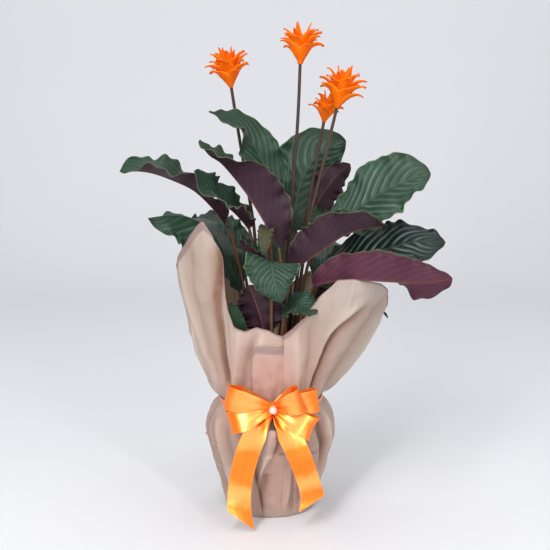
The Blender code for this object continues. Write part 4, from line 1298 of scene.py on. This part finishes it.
def blade_spot(spec, index, share, column, half, phase, waves, ruffle):
    """Place of a point across a blade: its share out, scallop and wave, and its height off the fold."""
    far = abs(column)
    sign = 1 if column > 0 else -1
    room = min(1.0, half / 12.0)
    wave = spec["wave"] * math.sin(math.tau * waves * share + phase) * room * far ** 1.6
    lively = 1.3 * noise.noise(Vector((share * 5 + phase, sign * 3.0, index * 1.7))) + 0.9
    wave += ruffle * lively * math.sin(math.tau * waves * 2.6 * share + 2 * phase) * room * far ** 4
    veins = math.sin(math.tau * (share * VEINS - far ** VEIN_BEND * VEIN_LEAN))
    wave += VEIN_RELIEF * veins * room * min(1.0, far * 5) * (1 - far ** 6)
    scallop = 1 + (0.03 * math.sin(math.tau * waves * 3.1 * share + phase) * lively
                   + 0.05 * noise.noise(Vector((share * 16, phase, sign)))) * far ** 2
    return half * far * scallop, wave


def model_leaf(spec, index, looks, ruffle):
    """One leaf: a round stalk that opens into a folded blade, veined and with waved margins."""
    rng = random.Random(SEED + index)
    shares = []
    for column in range(BLADE_COLUMNS + 1):
        even = 2 * column / BLADE_COLUMNS - 1
        shares.append(0.25 * even ** 3 + 0.75 * even)
    rib = smooth_path([spec["neck"]] + spec["rib"], BLADE_ROWS)
    tangents = directions(rib)
    faces = [Vector(face) for face in spec["face"]]
    last = BLADE_ROWS - 1
    ups = [square_to(tangents[i], between(faces, i / last)) for i in range(BLADE_ROWS)]
    stalk = stalk_rows(spec["root"], rib[0], tangents[0], STALK_ROWS)
    stalk_tangents = directions(stalk + [rib[0]])[:-1]
    stalk_ups = carry(stalk_tangents[::-1], ups[0])[::-1]
    waves = 3.0 + rng.random()
    phases = (rng.uniform(0, math.tau), rng.uniform(0, math.tau))
    angles = [share * math.radians(STALK_SPREAD) for share in shares]
    stalk_marks = [(0.0, share / 2 + 0.5) for share in shares]
    rows = []
    for place, (point, tangent, up) in enumerate(zip(stalk, stalk_tangents, stalk_ups)):
        share = place / len(stalk)
        sheath = SHEATH * eased(1 - abs(share - 0.2) * 4)
        radius = STALK_RADIUS + (NECK_RADIUS - STALK_RADIUS) * share + sheath
        rows.append(half_rings(point, tangent.cross(up), up, radius, angles, stalk_marks))
    rows.append(half_rings(rib[0], tangents[0].cross(ups[0]), ups[0], NECK_RADIUS, angles, stalk_marks))
    stalk_end = len(rows)
    for station in range(1, BLADE_ROWS):
        share = station / last
        up = ups[station]
        side = tangents[station].cross(up)
        taper = 1 + spec.get("taper", 0.0) * (0.35 - share)
        halves = []
        for side_name in ("left_belly", "right_belly"):
            full = blade_outline(min(share, 0.9995), spec.get(side_name, BELLY))
            halves.append(max(spec["width"] / 2 * full * taper, 0.4))
        top = []
        bottom = []
        for column in shares:
            right = column > 0
            sign = 1 if right else -1
            half = halves[right]
            fold = math.radians(between(spec["right" if right else "left"], share)) * min(1.0, half / 8.0)
            out = side * sign * math.cos(fold) + up * math.sin(fold)
            normal = up * math.cos(fold) - side * sign * math.sin(fold)
            clear = min(1.0, abs(column) * 8)
            normal = (normal * clear + up * (1 - clear)).normalized()
            reach, wave = blade_spot(spec, index, share, column, half, phases[not right], waves, ruffle)
            place = rib[station] + out * reach + normal * wave
            ridge = math.exp(-(half * abs(column) / RIB_WIDTH) ** 2) * (1 - share)
            top.append(place + normal * (BLADE / 2 - RIB_GROOVE * ridge))
            bottom.append(place - normal * (BLADE / 2 + RIB_DEPTH * ridge))
        rows.append((top, bottom, [(share, column / 2 + 0.5) for column in shares]))

    def look(column, row):
        if row < stalk_end:
            return 2
        return 0 if column < len(shares) - 1 else 1

    bm = bmesh.new()
    add_blade(bm, rows, look)
    return finish_piece(spec["name"].replace("leaf_", "foliage_"), bm, looks, [spec["name"]])


# Flowers


def model_flower_stem(spec, look):
    """Round stem from the soil to just under the flower head."""
    route = [Vector(point) for point in spec["stem"] + [spec["foot"]]]
    start = route[1] - route[0]
    points = stalk_rows(spec["root"], route[0], start.normalized(), STALK_ROWS)
    points += smooth_path(route, STALK_ROWS, start)
    tangents = directions(points)
    angles = [math.radians(angle) for angle in range(-80, 81, 20)]
    rows = []
    for place, (point, tangent, side) in enumerate(zip(points, tangents, carry(tangents, Vector((1, 0, 0))))):
        share = place / len(points)
        radius = FLOWER_STEM_RADIUS + (FLOWER_STEM_TOP - FLOWER_STEM_RADIUS) * share
        marks = [(share, 0.5)] * len(angles)
        rows.append(half_rings(point, side, tangent.cross(side), radius, angles, marks))
    bm = bmesh.new()
    add_blade(bm, rows)
    return finish_piece("bloom_stem_" + spec["name"], bm, [look], ["flower_stem_" + spec["name"]])


def core_radius(height):
    """Radius of the core of a flower head at a height."""
    return table_at([(level, radius) for radius, level in CORE], height)[0]


def bract_width(share):
    """Half width of a bract against its widest: narrow at the foot, widest at the bend, then a point."""
    if share < 0.5:
        return BRACT_FOOT_WIDTH + (1 - BRACT_FOOT_WIDTH) * eased(share / 0.5)
    return (1 - (share - 0.5) / 0.5) ** BRACT_POINT


def add_bract(bm, turn, height, lean, tip_lean, length, width, curl):
    """Add one pointed bract, cupped round the core, that curves outwards at its tip."""
    outward = Vector((math.cos(turn), math.sin(turn), 0))
    across = Vector((-math.sin(turn), math.cos(turn), 0))
    point = outward * (core_radius(height) - 0.8) + Vector((0, 0, height))
    rows = []
    for step in range(BRACT_STEPS + 1):
        share = step / BRACT_STEPS
        angle = math.radians(lean + (tip_lean - lean) * share ** BRACT_BEND)
        along = outward * math.sin(angle) + Vector((0, 0, math.cos(angle)))
        normal = outward * math.cos(angle) - Vector((0, 0, math.sin(angle)))
        half = max(width / 2 * bract_width(share), 0.25)
        top = []
        bottom = []
        for side in BRACT_SHARES:
            cup = -half * 0.5 * side * side * (1 - 0.35 * share) + curl * side * share
            keel = 0.35 * (1 - abs(side)) * (1 - share)
            place = point + across * side * half + normal * (cup + keel)
            top.append(place - normal * BRACT_THICKNESS / 2)
            bottom.append(place + normal * BRACT_THICKNESS / 2)
        rows.append((top, bottom, [(share, side / 2 + 0.5) for side in BRACT_SHARES]))
        point = point + along * length / BRACT_STEPS
    add_blade(bm, rows)


def model_flower_head(spec, index, look):
    """Orange head: a slim core clad in tiers of pointed bracts."""
    rng = random.Random(SEED * 10 + index)
    bm = bmesh.new()
    bm.loops.layers.uv.new("surface")
    spun(bm, [(0, CORE[0][1])] + CORE + [(0, CORE[-1][1])], 40)
    for tier, (count, height, lean, tip_lean, length, width) in enumerate(BRACT_TIERS):
        for place in range(count):
            turn = math.tau * (place + 0.5 * (tier % 2)) / count + rng.uniform(-0.2, 0.2)
            add_bract(bm, turn, height + rng.uniform(-1, 1), lean + rng.uniform(-5, 5),
                      tip_lean + rng.uniform(-22, 12), length * rng.uniform(0.9, 1.06), width,
                      rng.uniform(-0.9, 0.9))
    aim = (Vector(spec["foot"]) - Vector(spec["stem"][-1])).normalized()
    tilt = Vector((0, 0, 1)).rotation_difference(aim).to_matrix().to_4x4()
    turn = Matrix.Rotation(math.radians(spec["turn"]), 4, "Z")
    bm.transform(Matrix.Translation(Vector(spec["foot"]) * MM) @ tilt @ turn @ Matrix.Scale(spec["size"], 4))
    name = "flower_head_" + spec["name"]
    return finish_piece("bloom_" + spec["name"], bm, [look], [name])


# Operators


class CALATHEA_OT_stage(bpy.types.Operator):
    """Set up the camera, the soft studio light and the pale floor."""

    bl_idname = "calathea.stage"
    bl_label = "Stage and camera"

    def execute(self, context):
        choices = context.scene.calathea_stage
        camera = bpy.data.objects.new("camera", bpy.data.cameras.new("camera"))
        context.scene.collection.objects.link(camera)
        camera.location = CAMERA_PLACE
        camera.rotation_euler = (math.radians(90 - CAMERA_DIP), 0, 0)
        camera.data.sensor_width = SENSOR
        camera.data.lens = SENSOR * FOCAL_PIXELS / FRAME_PIXELS
        context.scene.camera = camera
        context.scene.view_settings.view_transform = "Standard"

        def sweep(column, row):
            x = (column / FLOOR_COLUMNS - 0.5) * FLOOR_WIDTH
            share = row / FLOOR_ROWS
            if share < 0.5:
                return Vector((x, FLOOR_FRONT + share * 2 * (FLOOR_BACK - FLOOR_FRONT), 0)), (0, 0)
            bend = (share - 0.5) * 4
            angle = min(bend, 1) * math.pi / 2
            y = FLOOR_BACK + FLOOR_BEND * math.sin(angle)
            return Vector((x, y, FLOOR_BEND * (1 - math.cos(angle)) + max(bend - 1, 0) * BACKDROP)), (0, 0)

        bm = bmesh.new()
        add_grid(bm, FLOOR_COLUMNS, FLOOR_ROWS, sweep)
        mesh = bpy.data.meshes.new("floor")
        bm.to_mesh(mesh)
        bm.free()
        mesh.shade_smooth()
        floor = bpy.data.objects.new("floor", mesh)
        context.scene.collection.objects.link(floor)
        mesh.materials.append(Finish("floor", Roughness=0.9).done(choices.floor))
        for name, place, aim, size, power in LAMPS:
            lamp = bpy.data.lights.new(name, "AREA")
            lamp.shape = "RECTANGLE"
            lamp.size, lamp.size_y = size
            lamp.energy = power * choices.light
            made = bpy.data.objects.new(name, lamp)
            made.location = place
            made.rotation_euler = (Vector(aim) - Vector(place)).to_track_quat("-Z", "Y").to_euler()
            context.scene.collection.objects.link(made)
        world = bpy.data.worlds.new("studio")
        world.use_nodes = True
        world.node_tree.nodes["Background"].inputs[0].default_value = WORLD_COLOR
        world.node_tree.nodes["Background"].inputs[1].default_value = WORLD_LIGHT
        context.scene.world = world
        return {"FINISHED"}


class CALATHEA_OT_pot(bpy.types.Operator):
    """Model the nursery pot and the potting mix in it."""

    bl_idname = "calathea.pot"
    bl_label = "Pot and soil"

    def execute(self, context):
        choices = context.scene.calathea_wrap
        model_pot(pot_plastic(choices.pot))
        model_soil(potting_mix(choices.soil))
        return {"FINISHED"}


class CALATHEA_OT_wrap(bpy.types.Operator):
    """Model the film that wraps the pot."""

    bl_idname = "calathea.wrap"
    bl_label = "Film wrap"

    def execute(self, context):
        choices = context.scene.calathea_wrap
        look = film_skin(choices)
        model_wrap(look, choices)
        model_tongue(look, choices)
        return {"FINISHED"}


class CALATHEA_OT_bow(bpy.types.Operator):
    """Model the tie, the satin bow and its bead."""

    bl_idname = "calathea.bow"
    bl_label = "Ribbon, bow and bead"

    def execute(self, context):
        choices = context.scene.calathea_bow
        look = satin("satin", choices.ribbon)
        model_tie(look, choices)
        model_bow(look, choices)
        model_bead(pearl_skin(choices.pearl))
        return {"FINISHED"}


class CALATHEA_OT_leaves(bpy.types.Operator):
    """Model the leaves with their stalks."""

    bl_idname = "calathea.leaves"
    bl_label = "Leaves"

    def execute(self, context):
        choices = context.scene.calathea_foliage
        rim = shade(LEAF_MARGIN)
        tops = {
            "green": leaf_top("leaf_green", choices.green, choices.stripe, 0.45, rim),
            "bright": leaf_top(
                "leaf_bright", dimmed(choices.green, 1.15), dimmed(choices.stripe, 1.35), 0.95, rim),
            "striped": leaf_top("leaf_striped", choices.dark_green, dimmed(choices.stripe, 2.0), 1.0, rim),
            "young": leaf_top(
                "leaf_young", shade(YOUNG_GROUND), shade(YOUNG_STRIPE), 0.5, shade(YOUNG_MARGIN)),
        }
        backs = {
            "dark": leaf_back("leaf_back_dark", choices.purple, choices.stalk),
            "bright": leaf_back("leaf_back_bright", choices.magenta, choices.stalk),
        }
        stalk = stalk_skin("leaf_stalk", choices.stalk, shade(STALK_OLIVE))
        for index, spec in enumerate(LEAVES):
            top = tops[LEAF_TOPS.get(spec["name"], "green")]
            back = backs[LEAF_BACKS.get(spec["name"], "dark")]
            model_leaf(spec, index, [top, back, stalk], choices.ruffle / MM)
        return {"FINISHED"}


class CALATHEA_OT_flowers(bpy.types.Operator):
    """Model the flower stems and heads."""

    bl_idname = "calathea.flowers"
    bl_label = "Flowers"

    def execute(self, context):
        choices = context.scene.calathea_foliage
        stem = stalk_skin("flower_stem", choices.stem, shade(STEM_LIGHT))
        petals = bract_skin("bract", choices.bract)
        for index, spec in enumerate(FLOWERS):
            model_flower_stem(spec, stem)
            model_flower_head(spec, index, petals)
        return {"FINISHED"}


class CALATHEA_PT_panel(bpy.types.Panel):
    """Panel with the steps that model the plant."""

    bl_idname = "CALATHEA_PT_panel"
    bl_label = "Gift-wrapped plant"
    bl_space_type = "VIEW_3D"
    bl_region_type = "UI"
    bl_category = "Plant"

    def draw(self, context):
        scene = context.scene
        for choices in [getattr(scene, name) for name in GROUPS]:
            for name in choices.bl_rna.properties.keys():
                if name not in ("rna_type", "name"):
                    self.layout.prop(choices, name)
        for step in STEPS:
            self.layout.operator(step.bl_idname)


STEPS = (CALATHEA_OT_stage, CALATHEA_OT_pot, CALATHEA_OT_wrap, CALATHEA_OT_bow, CALATHEA_OT_leaves,
         CALATHEA_OT_flowers)
GROUPS = {
    "calathea_foliage": FoliageChoices,
    "calathea_wrap": WrapChoices,
    "calathea_bow": BowChoices,
    "calathea_stage": StageChoices,
}


def register():
    """Register the classes and the settings."""
    for made in (*GROUPS.values(), *STEPS, CALATHEA_PT_panel):
        bpy.utils.register_class(made)
    for name, group in GROUPS.items():
        setattr(bpy.types.Scene, name, bpy.props.PointerProperty(type=group))


def unregister():
    """Remove the settings and the classes."""
    for name in GROUPS:
        delattr(bpy.types.Scene, name)
    for made in (CALATHEA_PT_panel, *reversed(STEPS), *reversed(GROUPS.values())):
        bpy.utils.unregister_class(made)


def main():
    """Model the whole plant in order."""
    register()
    bpy.ops.calathea.stage()
    bpy.ops.calathea.pot()
    bpy.ops.calathea.wrap()
    bpy.ops.calathea.bow()
    bpy.ops.calathea.leaves()
    bpy.ops.calathea.flowers()


if __name__ == "__main__":
    main()
